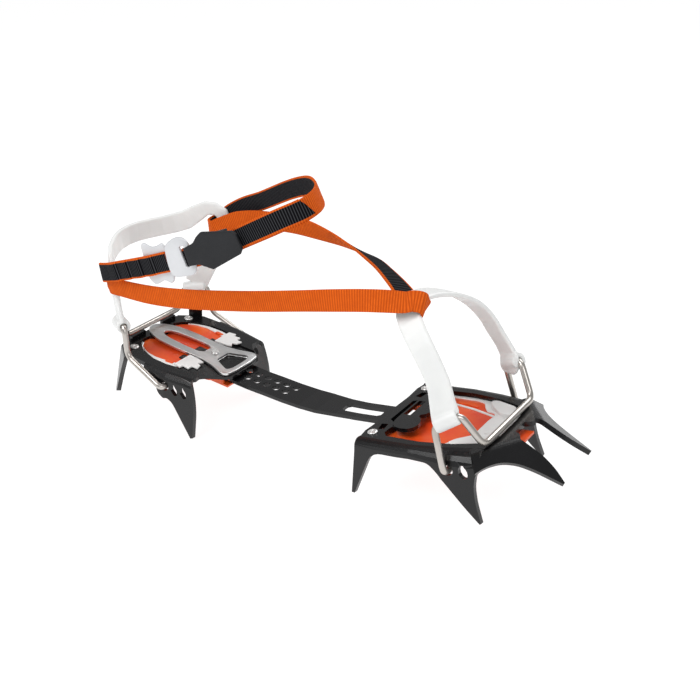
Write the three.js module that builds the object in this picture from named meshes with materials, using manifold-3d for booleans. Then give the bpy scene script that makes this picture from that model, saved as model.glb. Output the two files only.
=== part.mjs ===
// Step-in mountaineering crampon: two bent steel frames, a perforated linking bar, anti-balling plates,
// wire bails with elastomer harnesses, and a one-strap ankle binding with its buckle.
// Working frame: +X to the toe, +Y to the far (outer) side, +Z up; millimetres.
import * as THREE from "three";
import Module from "manifold-3d";

const wasm = await Module();
wasm.setup();
const { Manifold, CrossSection } = wasm;

const V = (x, y, z) => new THREE.Vector3(x, y, z);
const RAD = Math.PI / 180;

// ---------------------------------------------------------------- main dimensions
const STEEL = 3.0; // frame sheet thickness
const FRONT_AT = [45.3, 0, 32.4];
const FRONT_PITCH = 7.6; // toe end up
const HEEL_AT = [-150.0, 0, 41.4];
const HEEL_PITCH = 7.35; // heel end up
const BEND_SPAN = 6; // width of the bend band in the unfolded sheets
const WIRE_R = 2.0;
const BORE_R = 2.4;
const STRAP_T = 1.6;
const STRAP_W = 12.6;
const HARNESS_T = 3.0;

// ---------------------------------------------------------------- helpers
function toGeometry(solid) {
  const m = solid.getMesh();
  const pos = new Float32Array(m.numVert * 3);
  for (let i = 0; i < m.numVert; i++)
    pos.set(m.vertProperties.subarray(i * m.numProp, i * m.numProp + 3), i * 3);
  const g = new THREE.BufferGeometry();
  g.setAttribute("position", new THREE.BufferAttribute(pos, 3));
  g.setIndex(new THREE.BufferAttribute(new Uint32Array(m.triVerts), 1));
  return g;
}

function fromMesh(positions, triangles) {
  return new Manifold(
    new wasm.Mesh({
      numProp: 3,
      vertProperties: new Float32Array(positions.flat()),
      triVerts: new Uint32Array(triangles.flat()),
    }),
  );
}

// A flat plate: outline and holes in x, y, with its top at zTop.
function plate(outline, holes, zTop, thick) {
  let cs = new CrossSection([outline], "NonZero");
  for (const h of holes) cs = cs.subtract(new CrossSection([h], "NonZero"));
  return cs.extrude(thick).translate([0, 0, zTop - thick]);
}

const circle = (x, y, r, n = 12) =>
  Array.from({ length: n }, (_, i) => {
    const a = ((i + 0.5) / n) * 2 * Math.PI;
    return [x + (r * Math.cos(a)) / Math.cos(Math.PI / n), y + (r * Math.sin(a)) / Math.cos(Math.PI / n)];
  });

const rect = (x0, y0, x1, y1) => [
  [x0, y0],
  [x1, y0],
  [x1, y1],
  [x0, y1],
];

// An outline with its blunt corners rounded off; the ends of the points stay sharp, and so does the root of a flange.
function soften(points, r) {
  const out = [];
  const toward = (p, q, d) => {
    const k = d / Math.hypot(q[0] - p[0], q[1] - p[1]);
    return [p[0] + (q[0] - p[0]) * k, p[1] + (q[1] - p[1]) * k];
  };
  points.forEach((p, i) => {
    const a = points[(i + points.length - 1) % points.length];
    const b = points[(i + 1) % points.length];
    const la = Math.hypot(a[0] - p[0], a[1] - p[1]);
    const lb = Math.hypot(b[0] - p[0], b[1] - p[1]);
    const cos = ((a[0] - p[0]) * (b[0] - p[0]) + (a[1] - p[1]) * (b[1] - p[1])) / (la * lb);
    if (p[1] < 0 || cos > -0.1 || Math.min(la, lb) < 2.6) return out.push(p);
    const d = Math.min(r, 0.44 * la, 0.44 * lb);
    const [u, v] = [toward(p, a, d), toward(p, b, d)];
    for (const t of [0, 0.2, 0.4, 0.6, 0.8, 1])
      out.push([0, 1].map((k) => (1 - t) * (1 - t) * u[k] + 2 * t * (1 - t) * p[k] + t * t * v[k]));
  });
  return out;
}
const mirrorY = (pts) => pts.map(([x, y]) => [x, -y]).reverse();
// Closes a half outline given for y >= 0 (from the rear centre round to the front centre).
const bothSides = (half) => [
  ...half.filter(([, y]) => y > 0).map(([x, y]) => [x, -y]),
  ...[...half].reverse(),
];

// Straight-line interpolation through [x, value] knots.
function knots(table) {
  return (x) => {
    if (x <= table[0][0]) return table[0][1];
    for (let i = 1; i < table.length; i++) {
      const [x0, v0] = table[i - 1];
      const [x1, v1] = table[i];
      if (x <= x1) return v0 + ((v1 - v0) * (x - x0)) / (x1 - x0);
    }
    return table[table.length - 1][1];
  };
}

// Bent sheet: an unfolded outline (u along the fold, s across it) is cut along grid lines,
// and each vertex is mapped to space for the outer (t = 0) and the inner (t = -thick) faces.
function bentSheet(outline, holes, uLines, sLines, map, thick = STEEL) {
  let cs = new CrossSection([outline], "Positive");
  if (cs.area() < 1) cs = new CrossSection([[...outline].reverse()], "Positive");
  for (const h of holes) cs = cs.subtract(new CrossSection([h], "NonZero"));
  const far = 1000;
  const us = [-far, ...uLines, far];
  const ss = [-far, ...sLines, far];
  const index = new Map();
  const flat = [];
  const tris = [];
  const vertex = ([u, s]) => {
    const key = Math.round(u * 1000) + "," + Math.round(s * 1000);
    if (!index.has(key)) {
      index.set(key, flat.length);
      flat.push([u, s]);
    }
    return index.get(key);
  };
  for (let i = 1; i < us.length; i++)
    for (let j = 1; j < ss.length; j++) {
      const cell = cs.intersect(new CrossSection([rect(us[i - 1], ss[j - 1], us[i], ss[j])], "Positive"));
      const polys = cell.toPolygons().filter((p) => p.length > 2);
      if (!polys.length) continue;
      const pts = polys.flat();
      for (const t of wasm.triangulate(polys)) {
        const ids = t.map((k) => vertex(pts[k]));
        if (new Set(ids).size === 3) tris.push(ids);
      }
    }
  const n = flat.length;
  const positions = [];
  for (const [u, s] of flat) positions.push(map(u, s, 0));
  for (const [u, s] of flat) positions.push(map(u, s, -thick));
  const edges = new Set(tris.flatMap(([a, b, c]) => [a + "_" + b, b + "_" + c, c + "_" + a]));
  const all = tris.map(([a, b, c]) => [a, b, c]);
  for (const [a, b, c] of tris) all.push([a + n, c + n, b + n]);
  for (const e of edges) {
    const [a, b] = e.split("_").map(Number);
    if (edges.has(b + "_" + a)) continue;
    all.push([a, a + n, b + n], [a, b + n, b]);
  }
  const made = fromMesh(positions, all);
  return made.volume() > 0 ? made : fromMesh(positions, all.map(([a, b, c]) => [a, c, b]));
}

// Side flange bent down along y = edge(x): s < 0 flat, 0..BEND_SPAN round the bend, then straight down.
function sideMap(edge, radius, angle) {
  return (x, s, t) => {
    const a = edge(x);
    const r = radius(x);
    if (s <= 0) return [x, a + s, t];
    const phi = (Math.min(s, BEND_SPAN) / BEND_SPAN) * angle * RAD;
    const w = Math.max(0, s - BEND_SPAN);
    const y = a + (r + t) * Math.sin(phi) + w * Math.cos(phi);
    const z = -r + (r + t) * Math.cos(phi) - w * Math.sin(phi);
    return [x, y, z];
  };
}

// Straight fold from A to B (local x, y): u runs along it, s across it, outwards.
function foldMap(A, B, r, angle) {
  const d = V(B[0] - A[0], B[1] - A[1], 0).normalize();
  const out = V(-d.y, d.x, 0);
  return (u, s, t) => {
    const phi = s <= 0 ? 0 : (Math.min(s, BEND_SPAN) / BEND_SPAN) * angle * RAD;
    const w = Math.max(0, s - BEND_SPAN);
    const o = s <= 0 ? s : (r + t) * Math.sin(phi) + w * Math.cos(phi);
    const z = s <= 0 ? t : -r + (r + t) * Math.cos(phi) - w * Math.sin(phi);
    return [A[0] + d.x * u + out.x * o, A[1] + d.y * u + out.y * o, z];
  };
}

const BEND_LINES = [0, 1.5, 3, 4.5, 6];

// Sweep of a closed profile [a, b] along samples {p, w, n}: a runs along w, b along n.
function sweep(samples, profile) {
  const positions = [];
  const tris = [];
  const m = profile.length;
  for (const { p, w, n } of samples)
    for (const [a, b] of profile)
      positions.push([p.x + w.x * a + n.x * b, p.y + w.y * a + n.y * b, p.z + w.z * a + n.z * b]);
  for (let i = 0; i + 1 < samples.length; i++)
    for (let j = 0; j < m; j++) {
      const a = i * m + j;
      const b = i * m + ((j + 1) % m);
      tris.push([a, b, b + m], [a, b + m, a + m]);
    }
  const last = (samples.length - 1) * m;
  for (let j = 1; j + 1 < m; j++) {
    tris.push([0, j + 1, j]);
    tris.push([last, last + j, last + j + 1]);
  }
  const made = fromMesh(positions, tris);
  return made.volume() > 0 ? made : fromMesh(positions, tris.map(([a, b, c]) => [a, c, b]));
}

// Round wire through corner points, each corner rounded with the given setback.
function wire(points, r, setback, sides = 10) {
  const pts = points.map((p) => V(...p));
  const path = [pts[0]];
  for (let i = 1; i + 1 < pts.length; i++) {
    const back = V(0, 0, 0).subVectors(pts[i - 1], pts[i]);
    const ahead = V(0, 0, 0).subVectors(pts[i + 1], pts[i]);
    const k = Math.min(setback, back.length() * 0.45, ahead.length() * 0.45);
    const p0 = pts[i].clone().addScaledVector(back.normalize(), k);
    const p2 = pts[i].clone().addScaledVector(ahead.normalize(), k);
    const curve = new THREE.QuadraticBezierCurve3(p0, pts[i], p2);
    path.push(...curve.getPoints(5));
  }
  path.push(pts[pts.length - 1]);
  let n = null;
  const samples = path.map((p, i) => {
    const t = V(0, 0, 0)
      .subVectors(path[Math.min(i + 1, path.length - 1)], path[Math.max(i - 1, 0)])
      .normalize();
    if (!n) n = V(0.13, 0.31, 0.94).cross(t).normalize();
    n = n.clone().addScaledVector(t, -n.dot(t)).normalize();
    return { p, w: V(0, 0, 0).crossVectors(t, n), n };
  });
  const profile = Array.from({ length: sides }, (_, i) => {
    const a = (i / sides) * 2 * Math.PI;
    return [r * Math.cos(a), r * Math.sin(a)];
  });
  return sweep(samples, profile);
}

// Band through stations [[x, y, z], [face normal], width]: smooth centre line, normal and width.
function bandSamples(stations, perSpan) {
  const centre = new THREE.CatmullRomCurve3(stations.map((s) => V(...s[0])), false, "catmullrom", 0.5);
  const normal = new THREE.CatmullRomCurve3(stations.map((s) => V(...s[1])), false, "catmullrom", 0.5);
  const size = new THREE.CatmullRomCurve3(stations.map((s) => V(s[2], 0, 0)), false, "catmullrom", 0.5);
  const count = (stations.length - 1) * perSpan;
  return Array.from({ length: count + 1 }, (_, i) => {
    const u = i / count;
    const p = centre.getPoint(u);
    const t = centre.getTangent(u);
    const n = normal.getPoint(u);
    n.addScaledVector(t, -n.dot(t)).normalize();
    return { p, t, n, w: V(0, 0, 0).crossVectors(t, n), width: size.getPoint(u).x };
  });
}

function band(stations, thick, perSpan = 3, edge = 0) {
  const h = thick / 2;
  const samples = bandSamples(stations, perSpan);
  const mean = samples.map((s) => s.width);
  const unit = edge
    ? [[-1, -h + edge], [-1, h - edge], [-1 + 0.08, h], [1 - 0.08, h], [1, h - edge], [1, -h + edge]]
        .concat([[1 - 0.08, -h], [-1 + 0.08, -h]])
    : [[-1, -h], [-1, h], [1, h], [1, -h]];
  return sweep(
    samples.map(({ p, n, w }, i) => ({ p, n, w: w.clone().multiplyScalar(mean[i] / 2) })),
    unit,
  );
}

// Cylinder between two points.
function rod(a, b, r, sides = 14) {
  const from = V(...a);
  const dir = V(...b).sub(from);
  const q = new THREE.Quaternion().setFromUnitVectors(V(0, 0, 1), dir.clone().normalize());
  const m = new THREE.Matrix4().compose(from, q, V(1, 1, 1));
  return Manifold.cylinder(dir.length(), r, r, sides).transform([...m.elements]);
}

const along = (a, b, k) => a.map((v, i) => v + (b[i] - v) * k);
const flipY = ([x, y, z]) => [x, -y, z];

// ---------------------------------------------------------------- materials
const metal = (color, roughness) => new THREE.MeshStandardMaterial({ color, roughness, metalness: 0.85 });
const plain = (color, roughness) => new THREE.MeshStandardMaterial({ color, roughness, metalness: 0 });
const MAT = {
  steelBlack: metal(0x2a2b2d, 0.5),
  wire: metal(0xb9b4ad, 0.3),
  lever: metal(0xb4b6b8, 0.35),
  rivet: metal(0xe4e4e2, 0.35),
  white: plain(0xf2f2f0, 0.5),
  orange: plain(0xe8551c, 0.45),
  elastomer: plain(0xeeeeec, 0.6),
  webOrange: plain(0xe8631c, 0.85),
  webBlack: plain(0x1f1f22, 0.9),
  alloy: metal(0xdfe1e4, 0.3),
  rubber: plain(0x232426, 0.8),
};

const root = new THREE.Group();
root.name = "crampon";

function group(name, at, pitch) {
  const g = new THREE.Group();
  g.name = name;
  g.position.set(...at);
  g.rotation.y = pitch * RAD;
  root.add(g);
  return g;
}

function add(parent, name, solid, material) {
  const mesh = new THREE.Mesh(toGeometry(solid), material);
  mesh.name = name;
  parent.add(mesh);
  return mesh;
}

const front = group("front_section", FRONT_AT, -FRONT_PITCH);
const heel = group("heel_section", HEEL_AT, HEEL_PITCH);

// ---------------------------------------------------------------- front frame
const FRONT_EDGE = knots([[-6, 37.5], [30, 37.5], [50, 34.5], [72, 29]]);
const FRONT_RADIUS = knots([[-6, 5], [30, 5], [50, 7.5], [72, 10]]);
const TOE_A = [67.5, 31.0];
const TOE_B = [83.0, 11.5];

const frontTop = bothSides([
  [-5.5, 0],
  [-5.0, 18],
  [-6.0, 30],
  [-5.0, 36],
  [-2.5, 37.5],
  [30, 37.5],
  [50, 34.5],
  [67.5, 30.6],
  [83.0, 11.5],
  [84, 10.0],
  [83, 8],
  [79, 6],
  [79, 0],
]);
const frontOpening = bothSides([
  [1.0, 0],
  [1.0, 13],
  [5.5, 16],
  [8.5, 19.5],
  [6.8, 23],
  [6.8, 29],
  [10, 32.5],
  [33, 33],
  [52, 30],
  [66, 25],
  [73.5, 13],
  [73.5, 0],
]);
const triangleHole = [[-1.0, 19.5], [3.2, 18.8], [4.2, 25.5], [0.6, 26.2]];

const FRONT_FLANGE = [
  [-5.0, -1.2],
  [-6.0, 1.5],
  [-6.5, 7.5],
  [-11.5, 35.6],
  [-9.5, 35.8],
  [5.0, 8.0],
  [22, 8.4],
  [36, 7.8],
  [42, 7.6],
  [47, 11.5],
  [63.5, 30.5],
  [70.8, 38.0],
  [71.6, 37.6],
  [69.2, 26],
  [68.6, 17],
  [69.8, 10],
  [72.0, 7],
  [72.0, -1.2],
];
const bailHole = circle(54.3, 9.0, 2.9, 12);
const ovalHole = circle(0, 0, 1).map(([x, y]) => [63.1 + 2.6 * x + 0.5 * y, 8.9 + 3.5 * y]);

// Claw outline: u along the toe fold, s across it.
const TOE_CLAW = [
  [-3.0, -1.2],
  [-4.5, 3.0],
  [-6.5, 14.6],
  [1.5, 12.6],
  [10, 12.8],
  [18, 16.2],
  [25.5, 22.6],
  [36.6, 34.6],
  [37.6, 34.0],
  [36.2, 24.6],
  [33.2, 16.2],
  [30.4, 11.2],
  [27.2, 6.0],
  [24.6, 1.6],
  [24.2, -1.2],
];

function frontFrame() {
  const rivetHoles = [circle(0, -31, 1.8), circle(0, 31, 1.8)];
  const holes = [frontOpening, triangleHole, mirrorY(triangleHole), ...rivetHoles];
  let solid = plate(frontTop, holes, 0, STEEL);
  const side = bentSheet(
    soften(FRONT_FLANGE, 9),
    [bailHole, ovalHole],
    [10, 20, 30, 40, 50, 60],
    BEND_LINES,
    sideMap(FRONT_EDGE, FRONT_RADIUS, 84),
  );
  const claw = bentSheet(soften(TOE_CLAW, 12), [], [], BEND_LINES, foldMap(TOE_A, TOE_B, 9, 39));
  solid = solid.add(side).add(side.mirror([0, 1, 0]));
  return solid.add(claw).add(claw.mirror([0, 1, 0]));
}
add(front, "front_frame", frontFrame(), MAT.steelBlack);

// A low pan-head rivet through the frame sheet, with a dimple in its head.
function rivet(x, y, shank, top, headR = 3.1) {
  const head = Manifold.cylinder(1.0, headR, headR - 0.7, 16).translate([x, y, top]);
  const pin = Manifold.cylinder(shank + 0.5, 1.5, 1.5, 12).translate([x, y, top - shank]);
  const dimple = Manifold.cylinder(1.2, 0.9, 1.2, 12).translate([x, y, top + 0.6]);
  return head.add(pin).subtract(dimple);
}

// ---------------------------------------------------------------- front anti-balling plate
const FRONT_SNOW_TOP = -3.4;
const frontSnowOutline = bothSides([
  [9.5, 0],
  [9.5, 24],
  [14, 33.6],
  [33, 35.0],
  [52, 32.0],
  [67, 27.0],
  [76.5, 12.5],
  [77.5, 0],
]);
const bowlOpening = bothSides([
  [8, 0],
  [8, 27],
  [17, 30.0],
  [38, 29.6],
  [47, 25.5],
  [58.5, 8],
  [58.5, 0],
]);
const bowlLip = bothSides([
  [9.0, 0],
  [9.0, 24.5],
  [20.5, 29.5],
  [38.4, 30.6],
  [47.8, 26.3],
  [59.6, 8.6],
  [59.6, 0],
]);
const bowlFloor = bothSides([
  [15, 0],
  [15, 17],
  [22, 22],
  [36, 22.5],
  [42, 19.5],
  [52, 5],
  [52, 0],
]);

// A shallow open dish lofted from a lip outline down to a floor outline.
function dish(lip, floor, zLip, zFloor, wall) {
  const n = lip.length;
  const ring = (pts, z) => pts.map(([x, y]) => [x, y, z]);
  const inset = floor.map(([x, y], i) => {
    const [cx, cy] = floor.reduce(([a, b], [p, q]) => [a + p / n, b + q / n], [0, 0]);
    const d = Math.hypot(x - cx, y - cy);
    return [x + ((cx - x) * wall * 0.6) / d, y + ((cy - y) * wall * 0.6) / d, i];
  });
  const rim = (drop) => lip.map(([x, y]) => [x, y, zLip(x) - drop]);
  const positions = [
    ...rim(0),
    ...ring(floor, zFloor + wall),
    ...ring(inset, zFloor),
    ...rim(wall),
  ];
  // Outer skin: lip bottom to floor underside; inner skin: lip top to floor top.
  const tris = [];
  const strip = (a, b) => {
    for (let i = 0; i < n; i++) {
      const j = (i + 1) % n;
      tris.push([a + i, a + j, b + j], [a + i, b + j, b + i]);
    }
  };
  strip(n, 0);
  strip(0, 3 * n);
  strip(3 * n, 2 * n);
  const caps = wasm.triangulate([floor]);
  for (const [a, b, c] of caps) {
    tris.push([n + a, n + c, n + b]);
    tris.push([2 * n + a, 2 * n + b, 2 * n + c]);
  }
  const made = fromMesh(positions, tris);
  return made.volume() > 0 ? made : fromMesh(positions, tris.map(([a, b, c]) => [a, c, b]));
}

function frontSnow() {
  let solid = plate(frontSnowOutline, [bowlOpening], FRONT_SNOW_TOP, 1.8);
  // Raised toe pads that stand up inside the frame's opening.
  const pad = [[51.4, 29.4], [65.4, 24.4], [72.6, 12.4], [64, 12.4], [59, 17], [48, 28.2]];
  const raised = plate(pad, [], -0.6, 3.6);
  solid = solid.add(raised).add(raised.mirror([0, 1, 0]));
  const bar = plate(rect(62, -9, 72.5, 9), [], -2.0, 2.4);
  return solid.add(bar);
}
add(front, "front_antiball_plate", frontSnow(), MAT.white);

function frontBowl() {
  const lipTop = FRONT_SNOW_TOP - 2.1;

  const pan = dish(bowlLip, bowlFloor, (x) => (x < 30 ? lipTop - 2.6 : lipTop), -15.5, 1.4);
  const tongue = plate(rect(57, -7, 84, 7), [], lipTop, 1.4);
  return pan.add(tongue);
}
add(front, "front_antiball_bowl", frontBowl(), MAT.orange);

for (const [side, name] of [
  [-1, "near"],
  [1, "far"],
])
  add(front, "front_rivet_" + name, rivet(0, 31 * side, STEEL - 0.3, 0.3), MAT.rivet);

// ---------------------------------------------------------------- linking bar
// Its top line in the front section's plane, as [x, z] world stations; the heel end is straight.
const HEEL_SLOPE = Math.tan(HEEL_PITCH * RAD);
const barTop = (x) => HEEL_AT[2] - HEEL_SLOPE * (x - HEEL_AT[0]) - 4.75;
const BAR_PATH = [
  [-140, barTop(-140)],
  [-100, barTop(-100)],
  [-66, barTop(-66)],
  [-52, 24.75],
  [-38, 23.5],
  [-24, 22.8],
  [-10, 22.9],
  [4, 23.6],
  [18, 24.9],
  [34, 27.0],
  [46.7, 28.7],
  [52.0, 36.1],
  [68, 38.2],
];
const BAR_T = 2.4;
const BAR_LINE = knots(BAR_PATH);

const HOLE_PITCH = 7.7;
const barHoles = [];
for (let i = 0; i < 11; i++) {
  barHoles.push(circle(-37.6 - HOLE_PITCH * i, 4.8, 2.5, 10));
  barHoles.push(circle(-41.0 - HOLE_PITCH * i, -2.7, 2.5, 10));
}
const slotHole = [[4.5, -3], [6.5, -4.8], [31, -4.8], [33, -3], [33, 3], [31, 4.8], [6.5, 4.8], [4.5, 3]];
const BAR_HEAD_X = FRONT_AT[0];
const barHalf = [
  [-138, 0],
  [-138, 8],
  [-134, 12],
  [-12, 12],
  [2, 10.6],
  [14, 10],
  [38, 10],
  [44, 11.2],
  [52.0, 11.6],
  [52.4, 18],
  [54, 23],
  [57, 25.6],
  [61, 26.4],
  [65.6, 25.8],
  [68.2, 23],
  [69, 19],
  [68.4, 15.4],
  [66.2, 11.6],
  [63.8, 9.4],
  [63.8, 7.4],
  [66.4, 5.4],
  [67.4, 2.6],
  [67.4, 0],
];
const headSlot = rect(BAR_HEAD_X + 8.0, -9.5, BAR_HEAD_X + 12.5, 9.5);
// The flat bar is bent so that its top follows BAR_PATH.
function linkingBar() {
  const bends = BAR_PATH.slice(1, -1).map(([x]) => x);
  const bent = (x, y, t) => [x, y, BAR_LINE(x) + t];
  return bentSheet(bothSides(barHalf), [...barHoles, slotHole, headSlot], bends, [], bent, BAR_T);
}
add(root, "linking_bar", linkingBar(), MAT.steelBlack);

// ---------------------------------------------------------------- heel frame
const HEEL_EDGE = knots([[20, 37.5], [40, 36.5], [60, 33.5]]);
const HEEL_RADIUS = knots([[20, 4.5], [60, 5]]);
const SPIKE_A = [-9.0, 25.0];
const SPIKE_B = [6.0, 37.0];

const heelTop = bothSides([
  [-10.0, 0],
  [-10.0, 23.0],
  [-9.0, 25.0],
  [6.0, 37.0],
  [20, 37.5],
  [40, 36.5],
  [57, 34.0],
  [59, 31.5],
  [58.5, 27.5],
  [62, 23.5],
  [72, 17],
  [75, 13.5],
  [75, 0],
]);
const heelOpening = bothSides([
  [2.0, 0],
  [2.0, 6.5],
  [-3.0, 9.5],
  [-3.5, 15],
  [0, 20.5],
  [8, 26.5],
  [20, 30],
  [31, 30.3],
  [41, 28.5],
  [43.5, 21.5],
  [43.5, 0],
]);
const HEEL_FLANGE = [
  [20.0, -1.2],
  [20.5, 2.5],
  [26, 6.6],
  [31.5, 9.0],
  [35.0, 17.0],
  [39.8, 19.6],
  [42.4, 18.4],
  [46.6, 20.4],
  [62.8, 42.0],
  [64.6, 41.2],
  [64.4, 23.5],
  [62.6, 13.0],
  [60.0, 4.0],
  [58.0, -1.2],
];
const slantHole = (x) => [
  [x - 2.9, 8.6],
  [x - 0.6, 7.2],
  [x + 2.3, 10.8],
  [x + 2.9, 14.2],
  [x + 0.6, 15.0],
  [x - 2.3, 11.8],
];
const HEEL_SPIKE = [
  [0.5, -1.2],
  [0.0, 6],
  [-2.2, 40.5],
  [-0.6, 41.5],
  [1.2, 40.0],
  [9.0, 20.0],
  [16.0, 6.5],
  [17.5, -1.2],
];

function heelFrame() {
  const rivetHoles = [circle(0, -27.3, 1.8), circle(0, 27.3, 1.8), circle(-4.6, 0, 1.8)];
  const pegHole = circle(48.6, 0, 3.2);
  let solid = plate(heelTop, [heelOpening, ...rivetHoles, pegHole], 0, STEEL);
  // The lever's head rests in a shallow step in the front bridge.
  solid = solid.subtract(Manifold.cube([40, 42, 2]).translate([43.5, -21, -1.0]));
  const side = bentSheet(
    soften(HEEL_FLANGE, 8),
    [circle(40.6, 10.5, 2.9, 12), slantHole(47.6), slantHole(54.6)],
    [30, 40, 50],
    BEND_LINES,
    sideMap(HEEL_EDGE, HEEL_RADIUS, 84),
  );
  const spike = bentSheet(soften(HEEL_SPIKE, 8), [], [], BEND_LINES, foldMap(SPIKE_A, SPIKE_B, 4.5, 82));
  solid = solid.add(side).add(side.mirror([0, 1, 0]));
  solid = solid.add(spike).add(spike.mirror([0, 1, 0]));
  const rim = Manifold.cube([2.6, 13, 3.0]).translate([-10.0, 8.5, -0.4]);
  // Upright tabs on the rear corners, in the plane of the corner spikes.
  const tab = Manifold.cube([9.5, STEEL, 15]).translate([8.6, -0.4, -1.5]);
  const turn = Math.atan2(SPIKE_B[1] - SPIKE_A[1], SPIKE_B[0] - SPIKE_A[0]) / RAD;
  const placed = tab.rotate([0, 0, turn]).translate([SPIKE_A[0], SPIKE_A[1], 0]);
  for (const extra of [rim, placed]) solid = solid.add(extra).add(extra.mirror([0, 1, 0]));
  return solid;
}
add(heel, "heel_frame", heelFrame(), MAT.steelBlack);

for (const [side, name] of [
  [-1, "near"],
  [1, "far"],
])
  add(heel, "heel_rivet_" + name, rivet(0, 27.3 * side, STEEL - 0.3, 0.3), MAT.rivet);

// ---------------------------------------------------------------- heel anti-balling plate
const heelSnowRim = bothSides([
  [3.0, 0],
  [3.0, 7.0],
  [-2.0, 10.0],
  [-2.5, 14.8],
  [0.6, 19.8],
  [8.4, 25.6],
  [20, 29.0],
  [30.6, 29.2],
  [39.8, 27.6],
  [42.2, 21.2],
  [42.2, 0],
]);
const heelPanel = [
  [1.0, 11],
  [0.6, 15],
  [3, 19.3],
  [10, 24],
  [20, 26.6],
  [31, 26.6],
  [34, 23.5],
  [34, 11],
  [6, 8.5],
];
const heelSpine = [[5.5, -3.2], [30, -3.2], [30, 3.2], [5.5, 3.2]];

function heelSnow() {
  let solid = plate(heelSnowRim, [heelPanel, mirrorY(heelPanel), heelSpine], -0.9, 1.8);
  const wing = [
    [36, 12.8],
    [36, 28.5],
    [41, 30],
    [43, 26.6],
    [49.5, 26],
    [51.5, 22.5],
    [48, 20.5],
    [51.5, 17.5],
    [47, 14.8],
  ];
  const overlay = plate(wing, [], 1.7, 1.3);
  const post = plate(rect(36.4, 13, 41.6, 26), [], 1.0, 2.4);
  solid = solid.add(overlay).add(overlay.mirror([0, 1, 0])).add(post).add(post.mirror([0, 1, 0]));
  return solid;
}
add(heel, "heel_antiball_plate", heelSnow(), MAT.white);

// The orange membrane hangs below the frame and clears the linking bar in the middle.
function heelMembrane() {
  const outline = bothSides([
    [-1.0, 0],
    [-1.0, 15.5],
    [1.8, 20.4],
    [9.6, 26.0],
    [20, 28.6],
    [31, 28.8],
    [46, 27],
    [62, 22],
    [68, 14],
    [72, 14],
    [77, 8],
    [77, 0],
  ]);
  const barGap = rect(-3, -13.5, 80, 13.5);
  const deck = plate(outline, [barGap], -3.4, 1.3);
  const channel = plate(bothSides([[-1.0, 0], [-1.0, 15.0], [72, 15.0], [72, 0]]), [], -8.6, 1.3);
  const wall = plate(rect(-1.0, 13.5, 68, 15.0), [], -3.4, 6.0);
  return deck.add(channel).add(wall).add(wall.mirror([0, 1, 0]));
}
add(heel, "heel_antiball_membrane", heelMembrane(), MAT.orange);

// ---------------------------------------------------------------- adjuster lever
const LEVER_DROP = 1.0;
function lever() {
  const outline = bothSides([
    [-9.6, 0],
    [-9.0, 3.0],
    [-6.6, 6.0],
    [-1, 9.0],
    [5, 10.9],
    [14, 11.8],
    [24, 12.1],
    [40, 11.4],
    [48, 11.7],
    [57, 13.4],
    [67, 17.2],
    [70, 17.0],
    [72.2, 15.2],
    [73.4, 8],
    [73.4, 0],
  ]);
  const gapHalf = [[2.8, -1.4], [5.5, -3.4], [12, -4.6], [26, -5.4], [38, -5.2], [42, -3.0]];
  const gap = [...gapHalf, ...mirrorY(gapHalf)];
  const windowHalf = [[54.6, -5.4], [56, -6.8], [66.6, -11.6], [68.8, -11.0], [69.8, -8.6]];
  const window = [...windowHalf, ...mirrorY(windowHalf)];
  const flat = plate(outline, [gap, window, circle(-4.6, 0, 1.8), circle(48.6, 0, 1.8)], 2.0, 2.0);
  return flat.translate([4.6, 0, 0]).rotate([0, LEVER_DROP, 0]).translate([-4.6, 0, 0.4]);
}
add(heel, "adjuster_lever", lever(), MAT.lever);
add(heel, "lever_rivet", rivet(-4.6, 0, STEEL + 2.2, 2.75, 3.3), MAT.rivet);

function peg() {
  const head = Manifold.cylinder(1.0, 2.9, 2.2, 16).translate([48.6, 0, 1.85]);
  const neck = Manifold.cylinder(4.2, 1.4, 1.4, 12).translate([48.6, 0, -2.1]);
  // The foot stops just above the linking bar.
  const foot = Manifold.cylinder(2.2, 2.0, 2.1, 12).translate([48.6, 0, -3.6]);
  return head.add(neck).add(foot);
}
add(heel, "lever_peg", peg(), MAT.rivet);

// ---------------------------------------------------------------- toe bail and harness
const toWorld = (at, pitch, [x, y, z]) => {
  const a = pitch * RAD;
  return [at[0] + x * Math.cos(a) - z * Math.sin(a), y, at[2] + x * Math.sin(a) + z * Math.cos(a)];
};
const TOE_HOLE = toWorld(FRONT_AT, FRONT_PITCH, [54.3, 44.6, -10.2]);
const TOE_HUMP = [
  [93.2, 43.6, 56.4],
  [105.8, 37.6, 64.0],
];
const TOE_CORNER = [116.9, 30.5, 44.6];

function bailPath(hole, points) {
  const half = [[hole[0], 36.0, hole[2]], [hole[0], hole[1], hole[2]], ...points];
  return [...half, ...[...half].reverse().map(flipY)];
}
const TOE_BAIL = bailPath([TOE_HOLE[0], 45.4, TOE_HOLE[2]], [TOE_HUMP[0], TOE_HUMP[1], TOE_CORNER]);
add(root, "toe_bail", wire(TOE_BAIL, WIRE_R, 3.2), MAT.wire);

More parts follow.
